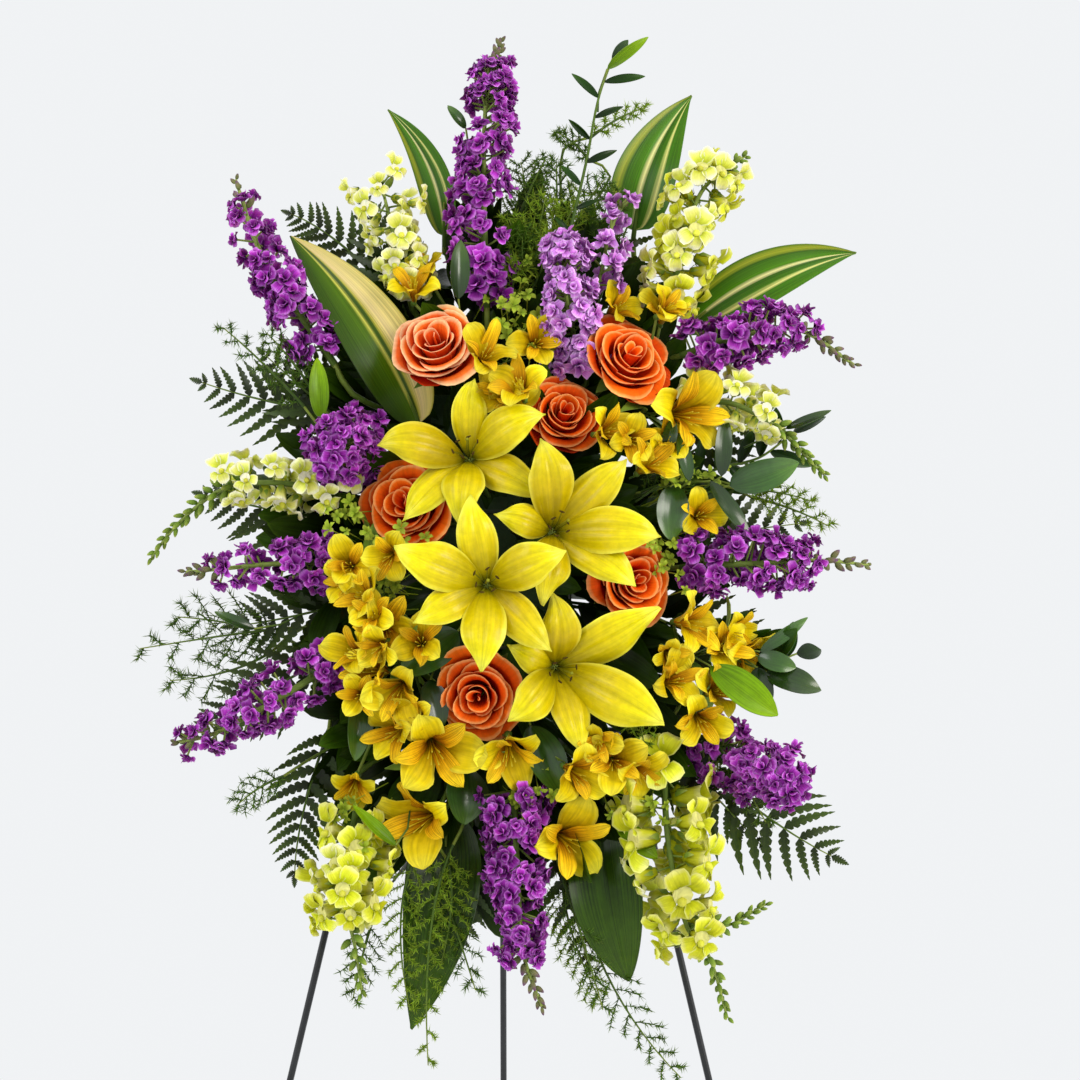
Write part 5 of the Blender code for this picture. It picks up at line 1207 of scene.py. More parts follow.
FORK_LEAF_FORM = dict(grid=(9, 5), outline=(0.6, 0.9), cup=0.2, ripple=0.03, twist=1.0, thickness=0.0006)


def trumpet_stamens(base, looks, radius):
    """Six thin rods in each trumpet, evenly round its axis, which bend down a little on their way out."""
    side, other = (axis[:, None] for axis in frames(looks, UP))
    turn = np.arange(6)[None, :, None] * math.pi / 3.0
    ring = np.cos(turn) * side + np.sin(turn) * other
    size = radius[:, None, None]
    marks = [base[:, None] + looks[:, None] * size * ahead + ring * size * out - other * size * 0.12 * ahead
             for ahead, out in STAMEN]
    return tubes(np.stack(marks, axis=2).reshape(-1, 3, 3), 0.0005, 4, material=0)


def alstroemeria(name, fork, trumpets, seed):
    """Trumpets on stalks from the fork, their stamens, a few leaves and the stem."""
    rng = np.random.default_rng(seed)
    x, z, depth, radius = metres(trumpets).T
    count = len(x)
    start = seen(*metres(fork))
    turn = STALK_TURN * np.arange(count)
    looks = unit(outward(x, z) + 0.35 * np.stack((np.cos(turn), np.zeros(count), np.sin(turn)), axis=-1))
    face = seen(x, z, depth)
    parts = [whorl(face, looks, radius, rule, TEPAL_FORM, rng, turn=0.5 * np.arange(count), material=number)
             for number, rule in enumerate(TEPALS)]
    base = face - looks * (TRUMPET * radius)[:, None]
    bend = (start + base) / 2.0 - looks * 0.006
    arms = bezier(np.broadcast_to(start, base.shape), bend, base, np.linspace(0.0, 1.0, 6))[0]
    parts.append(tubes(arms, 0.0014, 6, material=2))
    parts.append(ovals(base - looks * 0.004, looks, 0.009, 0.0030, rng.uniform(size=count), material=2))
    parts.append(trumpet_stamens(base, looks, radius))
    way = unit(start - FOAM)
    parts.append(whorl(start[None], way[None], 0.055, FORK_LEAVES, FORK_LEAF_FORM, rng, material=3))
    parts.append(stem_to(start, approach=way, material=2))
    materials = (alstro_petal, alstro_inner, stem_green, young_leaf)
    return piece(f"{name}_cluster", parts, materials, (name,))


make_all(alstroemeria, ALSTROEMERIAS, 120)

# %% [markdown]
# ## Broad leaves
# Striped leaves stand out at the top and two dark green ones hang at the bottom. Their veins all run from
# base to tip, so the stripes do too. The wax on them is thick and gives a clear gloss.

# %% Striped leaf and plain leaf
def striped(name, stops):
    """Stripes by the place across the leaf, made uneven by noise that is stretched along it."""
    material, shader, tree, _ = new_material(
        name, 0.32, Subsurface_Weight=0.08, Subsurface_Scale=0.002, Specular_IOR_Level=0.12,
        Coat_Weight=0.18, Coat_Roughness=0.25,
    )
    _, across, _, place = petal_values(tree)
    wide = put(tree, "ShaderNodeMapping", {"Vector": place, "Scale": (3.0, 0.9, 10.0)})
    drift = put(tree, "ShaderNodeTexNoise", {"Vector": wide, "Scale": 1.0, "Detail": 1.0})
    fine = put(tree, "ShaderNodeMapping", {"Vector": place, "Scale": (34.0, 1.2, 10.0)})
    veins = put(tree, "ShaderNodeTexNoise", {"Vector": fine, "Scale": 1.0, "Detail": 2.0})
    moved = put(tree, "ShaderNodeMath", (drift, 0.30, across), operation="MULTIPLY_ADD")
    place_across = put(tree, "ShaderNodeMapRange", (moved, -0.85, 1.15, 0.0, 1.0))
    colour = put(tree, "ShaderNodeValToRGB", (place_across,), stops=stops)
    value = put(tree, "ShaderNodeMapRange", (veins, 0.3, 0.7, 0.72, 1.28))
    varied = put(tree, "ShaderNodeHueSaturation", {"Value": value, "Color": colour})
    tree.links.new(varied, shader.inputs["Base Color"])
    bump = put(tree, "ShaderNodeBump", {"Height": veins, "Distance": 0.0003, "Strength": 1.0})
    tree.links.new(bump, shader.inputs["Normal"])
    return material


rim_striped = striped(
    "striped leaf with a cream side, grown, waxed",     # one half green, the other broad cream
    ((0.0, "#9a9424"), (0.06, "#cfbf66"), (0.30, "#d8c384"), (0.37, "#b5ab3e"), (0.41, "#3f5a08"),
     (0.46, "#35500a"), (0.50, "#bcbb4c"), (0.54, "#48680a"), (0.80, "#345008"), (1.0, "#2a4208")),
)
line_striped = striped(
    "striped leaf with cream lines, grown, waxed",      # fresh green with a few narrow cream lines
    ((0.0, "#447404"), (0.22, "#356404"), (0.28, "#d8d67c"), (0.33, "#3d6c04"), (0.48, "#2f5804"),
     (0.53, "#e2de94"), (0.58, "#477a06"), (0.80, "#335c04"), (0.90, "#8c9420"), (1.0, "#3d6206")),
)
broad_green = tissue(
    "aspidistra leaf, grown, waxed",                # deep green with fine pale lines and a clear gloss
    ((0.0, "#223a02"), (0.5, "#2c4802"), (1.0, "#3d5a04")), under="#485f12", roughness=0.34, soft=0.04,
    veins=26.0, vein_shade=0.55, vein_depth=0.0005, spread=0.05, coat=0.25, gloss=0.10,
)

# %% Six broad leaves
LEAVES = {      # the midrib's arc as x, z and depth, the width, and how far the face turns aside
    "striped_leaf_top_left": dict(
        path=((-49, 285, 40), (-62, 345, 40), (-99, 396, 20)), width=32, turned=-0.35, shape=(0.50, 0.95),
    ),
    "striped_leaf_left": dict(
        path=((-71, 120, 56), (-117, 208, 83), (-184, 285, 60)), width=60, finish=rim_striped,
        turned=0.15, shape=(0.48, 0.85),
    ),
    "striped_leaf_top": dict(
        path=((118, 290, 30), (135, 355, 40), (168, 408, 20)), width=55, turned=-0.10, shape=(0.42, 1.00),
    ),
    "striped_leaf_right": dict(
        path=((160, 200, 40), (235, 250, 60), (313, 270, 30)), width=47, turned=0.30, shape=(0.62, 1.00),
    ),
    "broad_leaf_bottom": dict(
        path=((-46, -225, 40), (-55, -320, 60), (-77, -412, 30)), width=64, finish=broad_green,
        turned=0.10, shape=(0.40, 0.90), slot="broad_leaf",
    ),
    "broad_leaf_low_right": dict(
        path=((90, -215, 40), (96, -295, 60), (114, -370, 30)), width=62, finish=broad_green,
        turned=-0.10, shape=(0.55, 0.80), slot="broad_leaf",
    ),
}
BROAD_FORM = dict(grid=(44, 21), cup=0.26, ripple=0.020, waves=1.3, groove=0.030, thickness=0.0009)
STALK_RADII = np.array((0.0024, 0.0022, 0.0018, 0.0013, 0.0008))    # from below the leaf into its midrib


def arc_marks(path):
    """Root, control point and tip of an arc that passes through the middle one of three places."""
    base, middle, tip = (seen(*mark) for mark in path)
    return base, 2.0 * middle - (base + tip) / 2.0, tip


def broad_leaf(name, path, width, turned, shape, finish=line_striped, slot="striped_leaf"):
    """One blade on its arc, with its stalk and the stem to the foam."""
    base, bend, tip = arc_marks(metres(path))
    facing = unit(TO_VIEWER + np.array((turned, 0.0, 0.1)))
    form = dict(BROAD_FORM, outline=(*shape, 0.02))
    parts = [blades(base[None], bend[None], tip[None], facing, metres(width), form, np.array((0.4,)))]
    way = unit(bend - base)
    midrib = smooth_path((base - way * 0.012, base, base + way * 0.03), 5)
    parts.append(tubes(midrib[None], STALK_RADII, 8, material=1))
    parts.append(stem_to(base - way * 0.010, STALK_RADII[0], way))
    return piece(f"{name}_blade", parts, (finish, stem_green), (name,))


for leaf_name, leaf_plan in LEAVES.items():
    broad_leaf(leaf_name, **leaf_plan)

# %% [markdown]
# ## Leather fern
# A frond is a rib with leaflets to both sides, and each leaflet is cut again into teeth that point
# forward. One blade makes a whole leaflet: its width drops at every notch and its edge is pushed ahead.

# %% Fern tissue
fern_green = tissue(
    "leather fern frond, grown, leathery",          # dark green with a dull gloss
    ((0.0, "#182404"), (1.0, "#34480e")), under="#3c4c20", roughness=0.42, soft=0.03,
    veins=6.0, vein_shade=0.25, spread=0.40, coat=0.22, gloss=0.14,
)

# %% Fronds with twice-cut leaflets
LEAFLET_FORM = dict(grid=(41, 3), outline=(0.20, 0.80, 0.04), teeth=7, cut=0.50, slant=0.70, cup=0.20,
                    groove=0.02, twist=0.30, thickness=0.0006, keen=True)
RIB_POINTS = 14
FROND_PAIRS = 9


def arc(marks, shares):
    """The points of one arc at the shares, and the ways it runs there."""
    return [value[0] for value in bezier(*(mark[None] for mark in marks), shares)]


def fern_frond(marks, reach, rng, pairs=FROND_PAIRS):
    """Leaflets leave the rib in pairs at shares of its length. Their length is reach * (1 - share)^0.75,
    less near the root. They point forward and droop a little away from the viewer."""
    share = (np.arange(pairs) + 0.4) / (pairs - 0.35)
    place, way = arc(marks, share)
    length = reach * np.minimum(1.0, 0.55 + 2.2 * share) * (1.0 - share) ** 0.75 + 0.006
    sign = np.array((-1.0, 1.0))[:, None, None]
    side = unit(np.cross(way, TO_VIEWER))[None] * sign
    out = unit(side + 0.60 * way[None] + rng.normal(0.0, 0.09, (2, pairs, 3)))
    foot = np.broadcast_to(place, out.shape)
    end = foot + (out + 0.30 * way[None] - TO_VIEWER * 0.18) * length[None, :, None]
    middle = foot + out * (0.5 * length)[None, :, None] + TO_VIEWER * 0.004
    foot, middle, end = (value.reshape(-1, 3) for value in (foot, middle, end))
    width = np.tile(0.0036 + 0.17 * length, 2)
    rib = arc(marks, np.linspace(0.0, 1.0, RIB_POINTS))[0]
    last = rib[-1:] + way[-1:] * (0.006 + 0.18 * reach)
    middle_leaflet = (rib[-1:], (rib[-1:] + last) / 2.0, last, TO_VIEWER, 0.0035 + 0.06 * reach)
    return [
        tubes(rib[None], np.linspace(0.0015, 0.0005, RIB_POINTS), 6, material=1),
        blades(foot, middle, end, TO_VIEWER, width, LEAFLET_FORM, rng.uniform(size=2 * pairs)),
        blades(*middle_leaflet, LEAFLET_FORM, np.array((0.5,))),
    ]


FERNS = {       # the rib's arc as x, z and depth, and the longest leaflet
    "fern_left": dict(rib=((-140, 128, 30), (-205, 140, 30), (-262, 156, 10)), reach=50),
    "fern_top_left": dict(rib=((-110, 250, 20), (-150, 285, 20), (-184, 304, 10)), reach=34),
    "fern_low_left": dict(rib=((-129, -36, 30), (-185, -50, 30), (-234, -58, 10)), reach=50),
    "fern_bottom_left": dict(
        rib=((-150, -150, 30), (-172, -220, 30), (-180, -276, 10)), reach=43, pairs=11,
    ),
    "fern_bottom_right": dict(rib=((165, -170, 20), (235, -225, 25), (292, -260, 10)), reach=72),
}


def fern(name, rib, reach, seed, pairs=FROND_PAIRS):
    """A frond and its stem."""
    marks = arc_marks(metres(rib))
    parts = fern_frond(marks, metres(reach), np.random.default_rng(seed), pairs)
    parts.append(stem_under(marks, 0.0018))
    return piece(f"{name}_frond", parts, (fern_green, stem_green), (name,))


make_all(fern, FERNS, 160)

# %% [markdown]
# ## Asparagus fern
# The feathery sprays carry thousands of needles a few millimetres long. Twigs leave the rib to both sides
# in turn, and needles leave the twigs in tufts. Every needle has few faces, so that a spray stays light.

# %% Needle tissue
needle_green = tissue(
    "asparagus fern needle, grown, matt",           # dark green with paler tips
    ((0.0, "#2c4a10"), (1.0, "#5d7a20")), roughness=0.6, soft=0.05, vein_shade=0.05, spread=0.40,
)
needle_lime = tissue(
    "young asparagus fern needle, grown, matt",     # lime green, on the youngest twigs
    ((0.0, "#4f7010"), (1.0, "#8fa428")), roughness=0.6, soft=0.05, vein_shade=0.05, spread=0.35,
)

# %% Feathery sprays
TUFT = 5        # needles from one place of a twig


def feather(marks, reach, twigs, tufts, rng, needle, material=0):
    """Twigs leave the rib to one side and the other in turn, flattened towards the spray's plane, with
    tufts of needles along each of them. `reach` is a twig's length, `needle` a needle's."""
    share = np.linspace(0.06, 0.98, twigs)
    place, way = arc(marks, share)
    side, other = frames(way, TO_VIEWER)
    angle = math.pi * np.arange(twigs) + rng.normal(0.0, 0.45, twigs)
    out = np.cos(angle)[:, None] * side + 0.5 * np.sin(angle)[:, None] * other
    length = reach * (0.35 + 0.65 * np.sin(math.pi * np.minimum(1.0, 0.25 + 0.75 * share)))
    length = length * rng.uniform(0.75, 1.1, twigs)
    end = place + unit(out + 0.9 * way) * length[:, None]
    middle = (place + end) / 2.0 + out * 0.15 * length[:, None]
    rib = arc(marks, np.linspace(0.0, 1.0, RIB_POINTS))[0]
    twig = bezier(place, middle, end, np.linspace(0.0, 1.0, 5))[0]
    fraction = (np.arange(tufts) + 0.6) / tufts
    tufted = bezier(place, middle, end, fraction)
    foot, way = (np.repeat(value.reshape(-1, 3), TUFT, axis=0) for value in tufted)
    spray = unit(rng.normal(0.0, 1.0, foot.shape) * (1.0, 0.6, 1.0) + 0.6 * way)
    tips = foot + spray * (needle * rng.uniform(0.6, 1.15, len(foot)))[:, None]
    return [
        tubes(rib[None], np.linspace(0.0014, 0.0005, RIB_POINTS), 6, material=1),
        tubes(twig, 0.00040, 4, material=material),
        needles(foot, tips, rng.uniform(size=len(foot)), material),
    ]


DARK, LIME = 0, 2       # the places of the two needle tissues among a spray's finishes
ASPARAGUS = {
    "asparagus_top": dict(
        ribs=(((10, 235, 40), (22, 300, 50), (18, 350, 30)),
              ((30, 240, 35), (52, 290, 45), (72, 325, 20)),
              ((20, 225, 55), (40, 265, 70), (48, 318, 45)), ((5, 230, 30), (6, 285, 35), (34, 330, 20)),
              ((45, 235, 30), (82, 275, 30), (94, 330, 15))),
        tints=(DARK, LIME, DARK, LIME, DARK), reach=36, twigs=26, needle=5,
    ),
    "asparagus_left": dict(
        ribs=(((-189, -60, 20), (-240, -66, 20), (-317, -78, 0)),
              ((-200, -80, 5), (-240, -98, 5), (-290, -106, -5)),
              ((-189, -68, 15), (-235, -56, 12), (-284, -50, 2))),
        tints=(DARK, DARK, DARK), reach=34, twigs=11, needle=9,
    ),
    "asparagus_bottom_left": dict(
        ribs=(((-40, -250, 78), (-60, -330, 76), (-62, -444, 30)),
              ((-74, -262, 74), (-86, -320, 72), (-78, -395, 45)),
              ((-46, -262, 72), (-42, -310, 70), (-58, -380, 45))),
        tints=(LIME, LIME, LIME), reach=22, twigs=19, needle=6,
    ),
    "asparagus_bottom_right": dict(
        ribs=(((65, -270, 30), (98, -370, 30), (160, -455, 10)),
              ((55, -260, 35), (62, -320, 30), (88, -385, 10))),
        tints=(DARK, LIME), reach=30, twigs=24, needle=7,
    ),
}


def asparagus(name, ribs, tints, reach, twigs, needle, seed):
    """A feathery branch and a stem for each rib. `tints` says which ribs are dark and which are lime."""
    rng = np.random.default_rng(seed)
    parts = []
    for rib, tint in zip(ribs, tints):
        marks = arc_marks(metres(rib))
        parts.extend(feather(marks, metres(reach), twigs, 8, rng, metres(needle), tint))
        parts.append(stem_under(marks, 0.0015))
    return piece(f"{name}_spray", parts, (needle_green, stem_green, needle_lime), (name,))


make_all(asparagus, ASPARAGUS, 180)

# %% [markdown]
# ## Ruscus
# Ruscus has hard pointed leaves on alternate sides of a stiff twig. They are very glossy, nearly black
# in the shade and bright green where the light falls through them.

# %% Ruscus tissue and three twigs
ruscus_green = tissue(
    "ruscus leaf, grown, hard",                     # nearly black, with a thin wax
    ((0.0, "#0e2402"), (0.6, "#183602"), (1.0, "#2c4e06")), under="#345414", roughness=0.34, soft=0.03,
    veins=12.0, vein_shade=0.22, vein_depth=0.0002, spread=0.45, coat=0.25, gloss=0.08,
)
# a lighter copy of the ruscus leaf: its lighter green is partly painted sheen for the window's reflection
ruscus_glossy_painted_sheen = tissue(
    "ruscus leaf, grown, thick wax",                # lighter green partly painted sheen, with a coat that mirrors the window
    ((0.0, "#1a3408"), (0.6, "#2a4a10"), (1.0, "#47681c")), under="#48681f", roughness=0.30, soft=0.03,
    veins=12.0, vein_shade=0.22, vein_depth=0.0002, spread=0.45, coat=1.0, coat_blur=0.22, gloss=0.10,
)
RUSCUS_FORM = dict(grid=(14, 9), outline=(0.75, 0.85, 0.04), cup=0.30, groove=0.03, twist=0.5,
                   thickness=0.0007)
RUSCUS = {
    "ruscus_top": dict(
        axis=((60, 280, 0), (76, 350, 0), (86, 404, 0), (98, 440, 0)), leaves=9, slim=0.23, low=0.50,
    ),
    "ruscus_right": dict(
        axis=((150, 60, -75), (190, 80, -55), (228, 90, -50), (258, 112, -40)), leaves=12, slim=0.30,
    ),
    "ruscus_low_right": dict(
        axis=((185, -65, -60), (215, -80, -30), (242, -88, 0), (262, -82, 0)), leaves=12, slim=0.42,
    ),
}


def ruscus(name, axis, leaves, seed, slim=0.38, low=1.0):
    """Leaves at alternate sides of the twig, which they leave at an acute angle, and one at the tip.
    `slim` is their width as a share of their length, `low` how long the lowest is for the highest's 1."""
    rng = np.random.default_rng(seed)
    path = smooth_path(spike_axis(axis), 20)
    shares = np.append((np.arange(leaves - 1) + 0.4) / leaves, 1.0)
    place, way, _ = round_axis(path, shares, 0.0, rng)
    sign = np.where(np.arange(leaves) % 2, 1.0, -1.0)
    sign[-1] = 0.15
    side = unit(np.cross(way, TO_VIEWER)) * sign[:, None]
    out = unit(way * 0.75 + side + TO_VIEWER * rng.uniform(-0.5, 0.4, leaves)[:, None])
    length = (0.038 * rng.uniform(0.85, 1.15, leaves) * (low + (1.0 - low) * shares))[:, None]
    face = unit(TO_VIEWER + rng.normal(0.0, 0.30, (leaves, 3)))
    bend = place + out * length * 0.5 + TO_VIEWER * 0.005
    width = slim * length[:, 0]
    parts = [blades(place, bend, place + out * length, face, width, RUSCUS_FORM, rng.uniform(size=leaves))]
    parts.append(tubes(path[None], np.linspace(0.0017, 0.0009, 20), 6, material=1))
    parts.append(stem_under(path, 0.0018))
    return piece(f"{name}_twig", parts, (ruscus_green, stem_green), (name,))


make_all(ruscus, RUSCUS, 100)

# %% [markdown]
# ## Greenery between the blooms
# Before the flowers go in, a florist hides the foam with short greenery. Dark leaves stand out of the
# foam on all sides, and small lime green flower heads fill the gaps between the large blooms.

# %% Collar leaves all over the foam
collar_green = tissue(
    "salal leaf, grown, leathery",                  # deep green, glossy, each leaf a little different
    ((0.0, "#0e1a02"), (0.6, "#1c3002"), (1.0, "#2e4806")), under="#344a12", roughness=0.44, soft=0.03,
    veins=8.0, vein_shade=0.30, vein_depth=0.0003, spread=0.50, coat=0.08, gloss=0.06,
)
COLLAR_FORM = dict(grid=(9, 5), outline=(0.65, 0.70, 0.05), cup=0.25, ripple=0.03, groove=0.02, twist=0.6,
                   thickness=0.0006, keen=True)
COLLAR_REACH, COLLAR_SLIM = 0.62, 0.72         # the ellipse's size against the spray's, and how slim it is


def collar(count, seed):
    """Places at golden angles over an ellipse, slimmer than the spray and from its middle to half way
    out. Each leaf points away from the foam's axis and leans on the dome just behind the blooms."""
    rng = np.random.default_rng(seed)
    radius = COLLAR_REACH * np.sqrt((np.arange(count) + 0.5) / count)
    angle = GOLDEN_ANGLE * np.arange(count) + rng.uniform(-0.2, 0.2, count)
    x, z = COLLAR_SLIM * HALF_WIDTH * radius * np.cos(angle), HALF_HEIGHT * radius * np.sin(angle)
    depth = dome(x, z) * rng.uniform(0.08, 0.50, count)
    place = seen(x, z, depth)
    way = unit(np.stack((np.cos(angle), np.zeros(count), 1.2 * np.sin(angle)), axis=-1)
               + TO_VIEWER * rng.uniform(0.0, 0.5, count)[:, None] + rng.normal(0.0, 0.35, (count, 3)))
    length = rng.uniform(0.048, 0.080, count)[:, None]
    tip = place + way * length
    bend = place + way * length * 0.5 + TO_VIEWER * rng.uniform(0.002, 0.012, count)[:, None]
    face = unit(TO_VIEWER + rng.normal(0.0, 0.35, (count, 3)))
    return blades(place, bend, tip, face, length[:, 0] * 0.40, COLLAR_FORM, rng.uniform(size=count))


piece("collar_leaves", [collar(count=430, seed=7)], (collar_green,))

# %% Single leaves that show between the blooms
fresh_green = tissue(
    "young leaf, grown, thin",                      # bright green where the light comes through
    ((0.0, "#4e6e02"), (0.6, "#668804"), (1.0, "#7a9a06")), under="#7c9a14", roughness=0.42, soft=0.08,
    veins=9.0, vein_shade=0.28, vein_depth=0.0004, spread=0.15, coat=0.15, gloss=0.10,
)
ACCENT_FORM = dict(grid=(18, 9), outline=(0.62, 0.75, 0.03), cup=0.25, ripple=0.02, groove=0.03, twist=0.4,
                   thickness=0.0007)
STALK_LENGTH = 0.040
ACCENTS = (     # foot x and z, tip x and z, width, depth as a share of the dome, and 1 for a fresh leaf
    (187, -93, 246, -136, 30, 1.02, 1), (-157, 125, -160, 178, 17, 0.90, 1),
    (-36, 230, -34, 282, 18, 0.95, 0), (-28, -182, -30, -232, 40, 0.72, 0),
    (28, -145, 56, -205, 34, 0.80, 0), (-36, -62, -86, -100, 34, 0.90, 0),
    (-118, -118, -126, -176, 22, 0.85, 0), (-30, 380, -46, 400, 10, 0.95, 0),
    (146, 92, 154, 126, 13, 1.00, 0), (168, 70, 158, 112, 14, 1.02, 0), (196, 74, 199, 128, 15, 1.00, 0),
    (203, 66, 264, 86, 28, 1.00, 0), (186, 70, 222, 18, 17, 1.02, 0), (154, 66, 151, 18, 28, 0.95, 0),
    (252, 116, 292, 132, 9, 1.00, 0), (236, -98, 284, -114, 25, 1.10, 0),
    (230, -80, 272, -50, 11, 1.10, 0), (228, -84, 262, -94, 17, 1.10, 0),
    (228, -94, 234, -134, 21, 1.05, 0), (104, -230, 140, -262, 20, 0.80, 1),
    (94, 432, 130, 460, 10, 1.00, 1), (-215, -60, -250, -45, 10, 0.90, 0),
    (-90, -250, -128, -215, 12, 1.00, 1), (-60, -105, -52, -150, 24, 0.90, 0),
)


def accent_leaves(rows, seed):
    """One blade for each row, on a stalk from behind its foot, nearer to the foam."""
    rng = np.random.default_rng(seed)
    x, z, tip_x, tip_z, width = metres(rows).T[:5]
    share, fresh = np.array(rows).T[5:]
    foot = seen(x, z, dome(x, z) * share)
    tip = seen(tip_x, tip_z, dome(x, z) * share + 0.004)
    bend = (foot + tip) / 2.0 + TO_VIEWER * 0.010
    face = unit(TO_VIEWER + (0.38, 0.0, 0.34) + rng.normal(0.0, 0.14, foot.shape))
    parts = []
    for material in (0, 1):
        chosen = fresh == material
        marks = (value[chosen] for value in (foot, bend, tip, face, width))
        parts.append(blades(*marks, ACCENT_FORM, rng.uniform(size=int(chosen.sum())), material))
    inner = foot + unit(FOAM - foot) * STALK_LENGTH
    sag = (inner + foot) / 2.0 - (tip - foot) * 0.1
    parts.append(tubes(np.stack((inner, sag, foot), axis=1), 0.0009, 6, material=2))
    return parts


piece("accent_leaves", accent_leaves(ACCENTS, seed=23), (ruscus_glossy_painted_sheen, fresh_green, stem_green))

# %% Fronds and twigs that fill the rim
BACKING = (     # angle round the middle in degrees, and the frond's start and end as shares of the outline
    (22, 0.45, 0.76), (62, 0.45, 0.82), (118, 0.48, 0.78), (148, 0.48, 0.74), (171, 0.48, 0.80),
    (202, 0.50, 0.86), (238, 0.46, 0.74), (262, 0.45, 0.74), (287, 0.46, 0.80), (322, 0.48, 0.88),
    (345, 0.46, 0.78), (5, 0.44, 0.80),
)
TWIGS = (       # foot x and z, tip x and z, reach, and 1 for young lime twigs
    (-172, 135, -244, 205, 18, 0), (-165, 150, -205, 200, 16, 0), (80, 372, 128, 398, 10, 1),
    (78, 352, 50, 376, 10, 0), (222, 55, 290, 30, 15, 1), (210, 62, 275, 52, 13, 1),
    (-50, -290, -20, -378, 20, 0), (-112, -320, -128, -385, 22, 0), (55, -275, 92, -395, 22, 0),
    (16, 300, 40, 352, 18, 0), (-20, -75, 12, -125, 20, 1), (118, -110, 128, -160, 20, 1),
    (125, 60, 170, 70, 20, 0), (22, 255, 8, 300, 20, 1), (30, 262, 40, 318, 22, 1),
    (45, 262, 66, 312, 22, 1), (20, 240, 20, 290, 22, 0), (50, 300, 50, 350, 20, 0),
    (64, 290, 92, 335, 20, 0), (34, 235, 44, 285, 22, 1), (8, 215, 16, 262, 20, 1),
    (92, 270, 105, 325, 18, 0), (-190, -190, -230, -215, 20, 0), (190, -160, 235, -230, 22, 0),
)


def backing_fronds(rows, seed):
    """Short fern fronds that fan out from the middle, behind the flowers."""
    rng = np.random.default_rng(seed)
    parts = []
    for angle, inner, outer in rows:
        turn = math.radians(angle)
        x, z = HALF_WIDTH * math.cos(turn), HALF_HEIGHT * math.sin(turn)
        shares = ((inner, 0.030), (0.5 * (inner + outer), 0.038), (outer, 0.012))
        marks = arc_marks([(x * share, z * share, depth) for share, depth in shares])
        parts.extend(fern_frond(marks, 0.052, rng))
        parts.append(stem_to(marks[0], 0.0016, unit(marks[2] - marks[0])))
    return parts


def thin_twigs(rows, seed):
    """Short feathery twigs with long thin needles, a little behind the dome."""
    rng = np.random.default_rng(seed)
    parts = []
    for *marks, young in rows:
        x, z, tip_x, tip_z, reach = metres(marks)
        root = seen(x, z, 0.60 * dome(x, z))
        tip = seen(tip_x, tip_z, 0.90 * dome(tip_x, tip_z))
        bend = (root + tip) / 2.0 + TO_VIEWER * 0.008 + UP * 0.006
        tint = LIME if young else DARK
        parts.extend(feather((root, bend, tip), reach, 11, 6, rng, 0.0075, tint))
        parts.append(stem_to(root, 0.0012, unit(tip - root)))
    return parts


piece("backing_fronds", backing_fronds(BACKING, seed=29), (fern_green, stem_green))
piece("thin_twigs", thin_twigs(TWIGS, seed=31), (needle_green, stem_green, needle_lime))

# %% Lime green flower heads
lime_head = tissue(
    "bupleurum head, grown, papery",                # lime yellow green
    ((0.0, "#7f9a1c"), (1.0, "#b4c43c")), roughness=0.55, soft=0.2, vein_shade=0.15, spread=0.25,
)
HEADS = (       # x and z of each cluster's middle
    (30, 205), (12, 232), (-88, 10), (-95, -22), (-125, -230), (150, 0), (165, 80), (-135, 45),
    (20, -205), (130, -215),
)
ROSETTES = 12       # in a cluster
HEAD_RULE = dict(count=5, root=(0.05, 0.0), bend=(0.6, 0.4), tip=(1.0, 0.15), width=0.60, wander=0.2)
HEAD_FORM = dict(grid=(4, 3), outline=(0.6, 0.6, 0.1), cup=0.3, thickness=0.0005, keen=True)


def lime_heads(seed):
    """Around each place small rosettes of five bracts on thin stalks."""
    rng = np.random.default_rng(seed)
    x, z = (np.repeat(value, ROSETTES) for value in metres(HEADS).T)
    x, z = x + rng.normal(0.0, 0.012, len(x)), z + rng.normal(0.0, 0.012, len(z))
    centre = seen(x, z, dome(x, z) * rng.uniform(0.80, 1.02, len(x)))
    looks = unit(outward(x, z) + rng.normal(0.0, 0.3, (len(x), 3)))
    root = centre - looks * 0.035
    return [
        whorl(centre, looks, rng.uniform(0.005, 0.008, len(x)), HEAD_RULE, HEAD_FORM, rng),
        stalks(root, centre, 0.0005, material=0),
    ]


piece("lime_heads", lime_heads(seed=17), (lime_head,))

# %% [markdown]
# ## The easel, the cage and the foam
# The easel is bent steel wire under black enamel, which flows over the wire and leaves a smooth skin with
# faint orange peel. The cage is moulded green plastic. The foam is a rigid, very fine-celled sponge, dark
# because it is full of water.

# %% Finishes for what carries the flowers
PATCH_SCALE = 30.0      # patches a few centimetres wide


def solid_finish(name, low, high, grain, grain_depth, roughness, ior=1.45):
    """Two close colours in soft patches, a roughness that follows the patches, and a fine grain as bump."""
    material, shader, tree, spot = new_material(name, roughness, ior=ior)
    fine = put(tree, "ShaderNodeTexNoise", {"Vector": spot, "Scale": grain, "Detail": 2.0})
    patches = put(tree, "ShaderNodeTexNoise", {"Vector": spot, "Scale": PATCH_SCALE, "Detail": 4.0})
    tree.links.new(put(tree, "ShaderNodeValToRGB", (patches,), stops=((0.3, low), (0.7, high))),
                   shader.inputs["Base Color"])
    tree.links.new(put(tree, "ShaderNodeMapRange", (patches, 0.3, 0.7, roughness - 0.08, roughness + 0.08)),
                   shader.inputs["Roughness"])
    tree.links.new(put(tree, "ShaderNodeBump", {"Height": fine, "Distance": grain_depth, "Strength": 1.0}),
                   shader.inputs["Normal"])
    return material


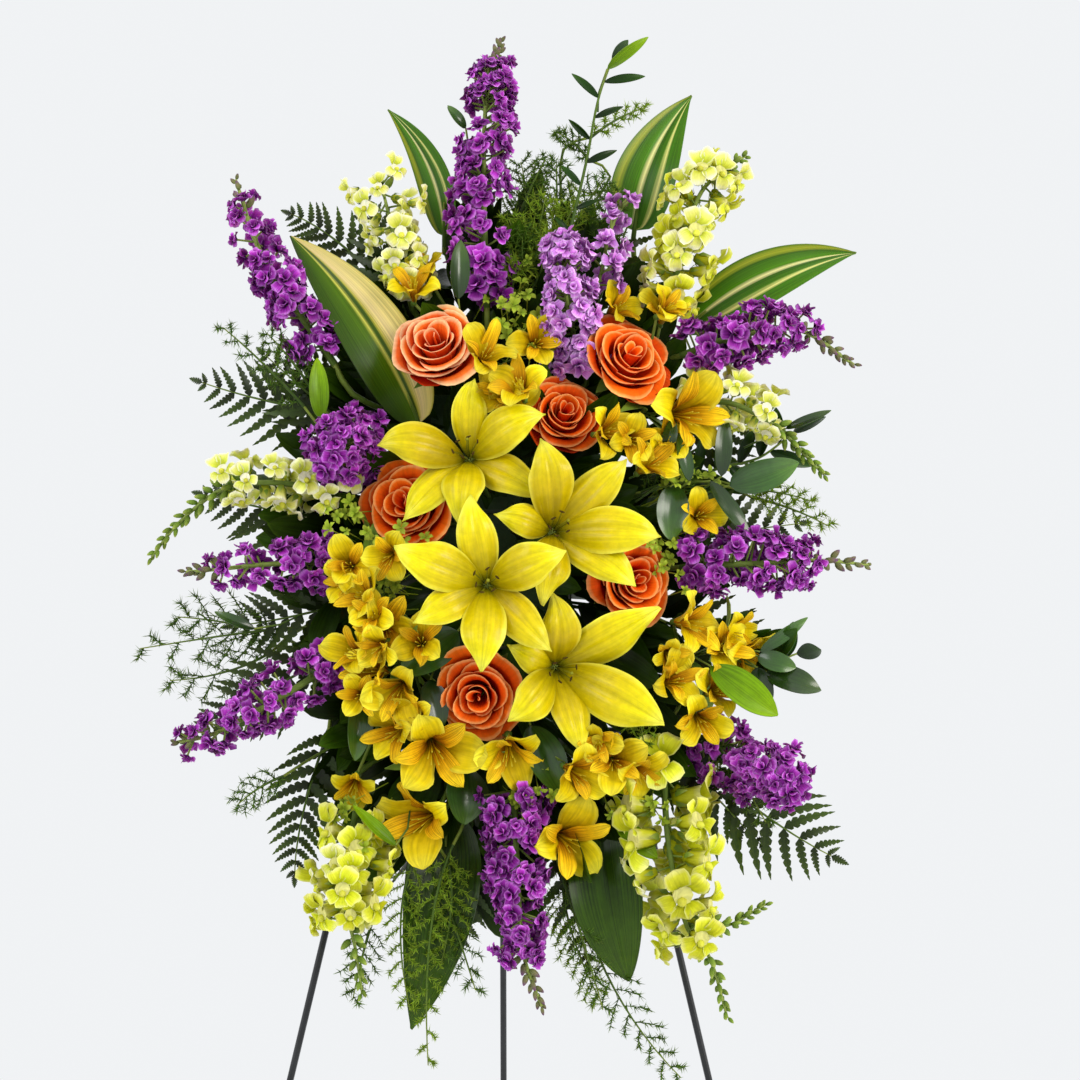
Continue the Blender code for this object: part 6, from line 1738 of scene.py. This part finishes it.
enamel_black = solid_finish(            # a dark skin over wire with faint orange peel, 2 mm wide
    "steel wire, bent and black enamelled", "#141516", "#26282a", 420.0, 0.00015, 0.36,
)
plastic_green = solid_finish(           # satin green with a fine grain, drawn 1 mm wide so that it shows
    "polypropylene, moulded", "#14260f", "#1b3015", 900.0, 0.0001, 0.45, ior=1.49,
)
foam_green = solid_finish(              # matt, dark because it is wet, with cells drawn 1 mm wide
    "phenolic foam, cut and soaked", "#1a2f12", "#25401a", 1000.0, 0.0005, 0.85,
)
CARRIERS = (
    (enamel_black, ("front_leg_left", "front_leg_right", "top_pin", "cross_bar", "rear_leg",
                    "rear_leg_eye")),
    (plastic_green, ("foam_tray", "cage_grid")),
    (foam_green, ("foam_block",)),
)
for finish, carriers in CARRIERS:
    for carrier in carriers:
        for slot_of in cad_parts[carrier].material_slots:
            slot_of.material = finish
print("dressed", sum(len(carriers) for _, carriers in CARRIERS), "carried-over nodes")

# %% [markdown]
# ## Floor and light
# A pale studio: a plain floor, a pale surround, a large soft light from the front right, where the
# photograph has its window, and a weaker one from the left.

# %% Floor, world and lights
FLOOR_RADIUS, FLOOR_SIDES = 3.4, 96
floor_mesh = bpy.data.meshes.new("floor")
floor_turn = 2.0 * math.pi * np.arange(FLOOR_SIDES) / FLOOR_SIDES
floor_rim = np.stack((np.cos(floor_turn), np.sin(floor_turn), np.zeros(FLOOR_SIDES)), axis=-1)
floor_mesh.from_pydata((FLOOR_RADIUS * floor_rim).tolist(), [], [list(range(FLOOR_SIDES))])
floor = bpy.data.objects.new("floor", floor_mesh)
bpy.context.scene.collection.objects.link(floor)
floor_mesh.materials.append(new_material("floor, painted pale", 0.6, Base_Color=linear("#e4e6e8"))[0])

world = bpy.data.worlds.new("studio")
world.use_nodes = True
background = world.node_tree.nodes["Background"]
background.inputs["Color"].default_value = linear("#f6f8fa")
background.inputs["Strength"].default_value = 0.95
bpy.context.scene.world = world
bpy.context.scene.view_settings.view_transform = "Standard"


def soft_light(name, place, target, size, power, colour="#ffffff"):
    """A square area light that looks from its place to the target."""
    data = bpy.data.lights.new(name, "AREA")
    data.size = size
    data.energy = power
    data.color = linear(colour)[:3]
    lamp = bpy.data.objects.new(name, data)
    lamp.location = place
    back = unit(np.array(place) - np.array(target))
    lamp.rotation_euler = (math.acos(back[2]), 0.0, math.atan2(back[0], -back[1]))
    bpy.context.scene.collection.objects.link(lamp)


soft_light("window_light", (2.2, -1.9, 2.2), tuple(FOAM), 1.3, 50.0, "#fffaf2")
soft_light("fill_light", (-2.2, -1.9, 2.5), tuple(FOAM), 1.6, 32.0, "#fbfbff")
soft_light("back_light", (0.4, 2.6, 2.6), tuple(FOAM), 2.0, 20.0)

# %% Triangles added by the new pieces
print("triangles added", sum(triangles_made.values()), "largest piece", max(triangles_made.values()))
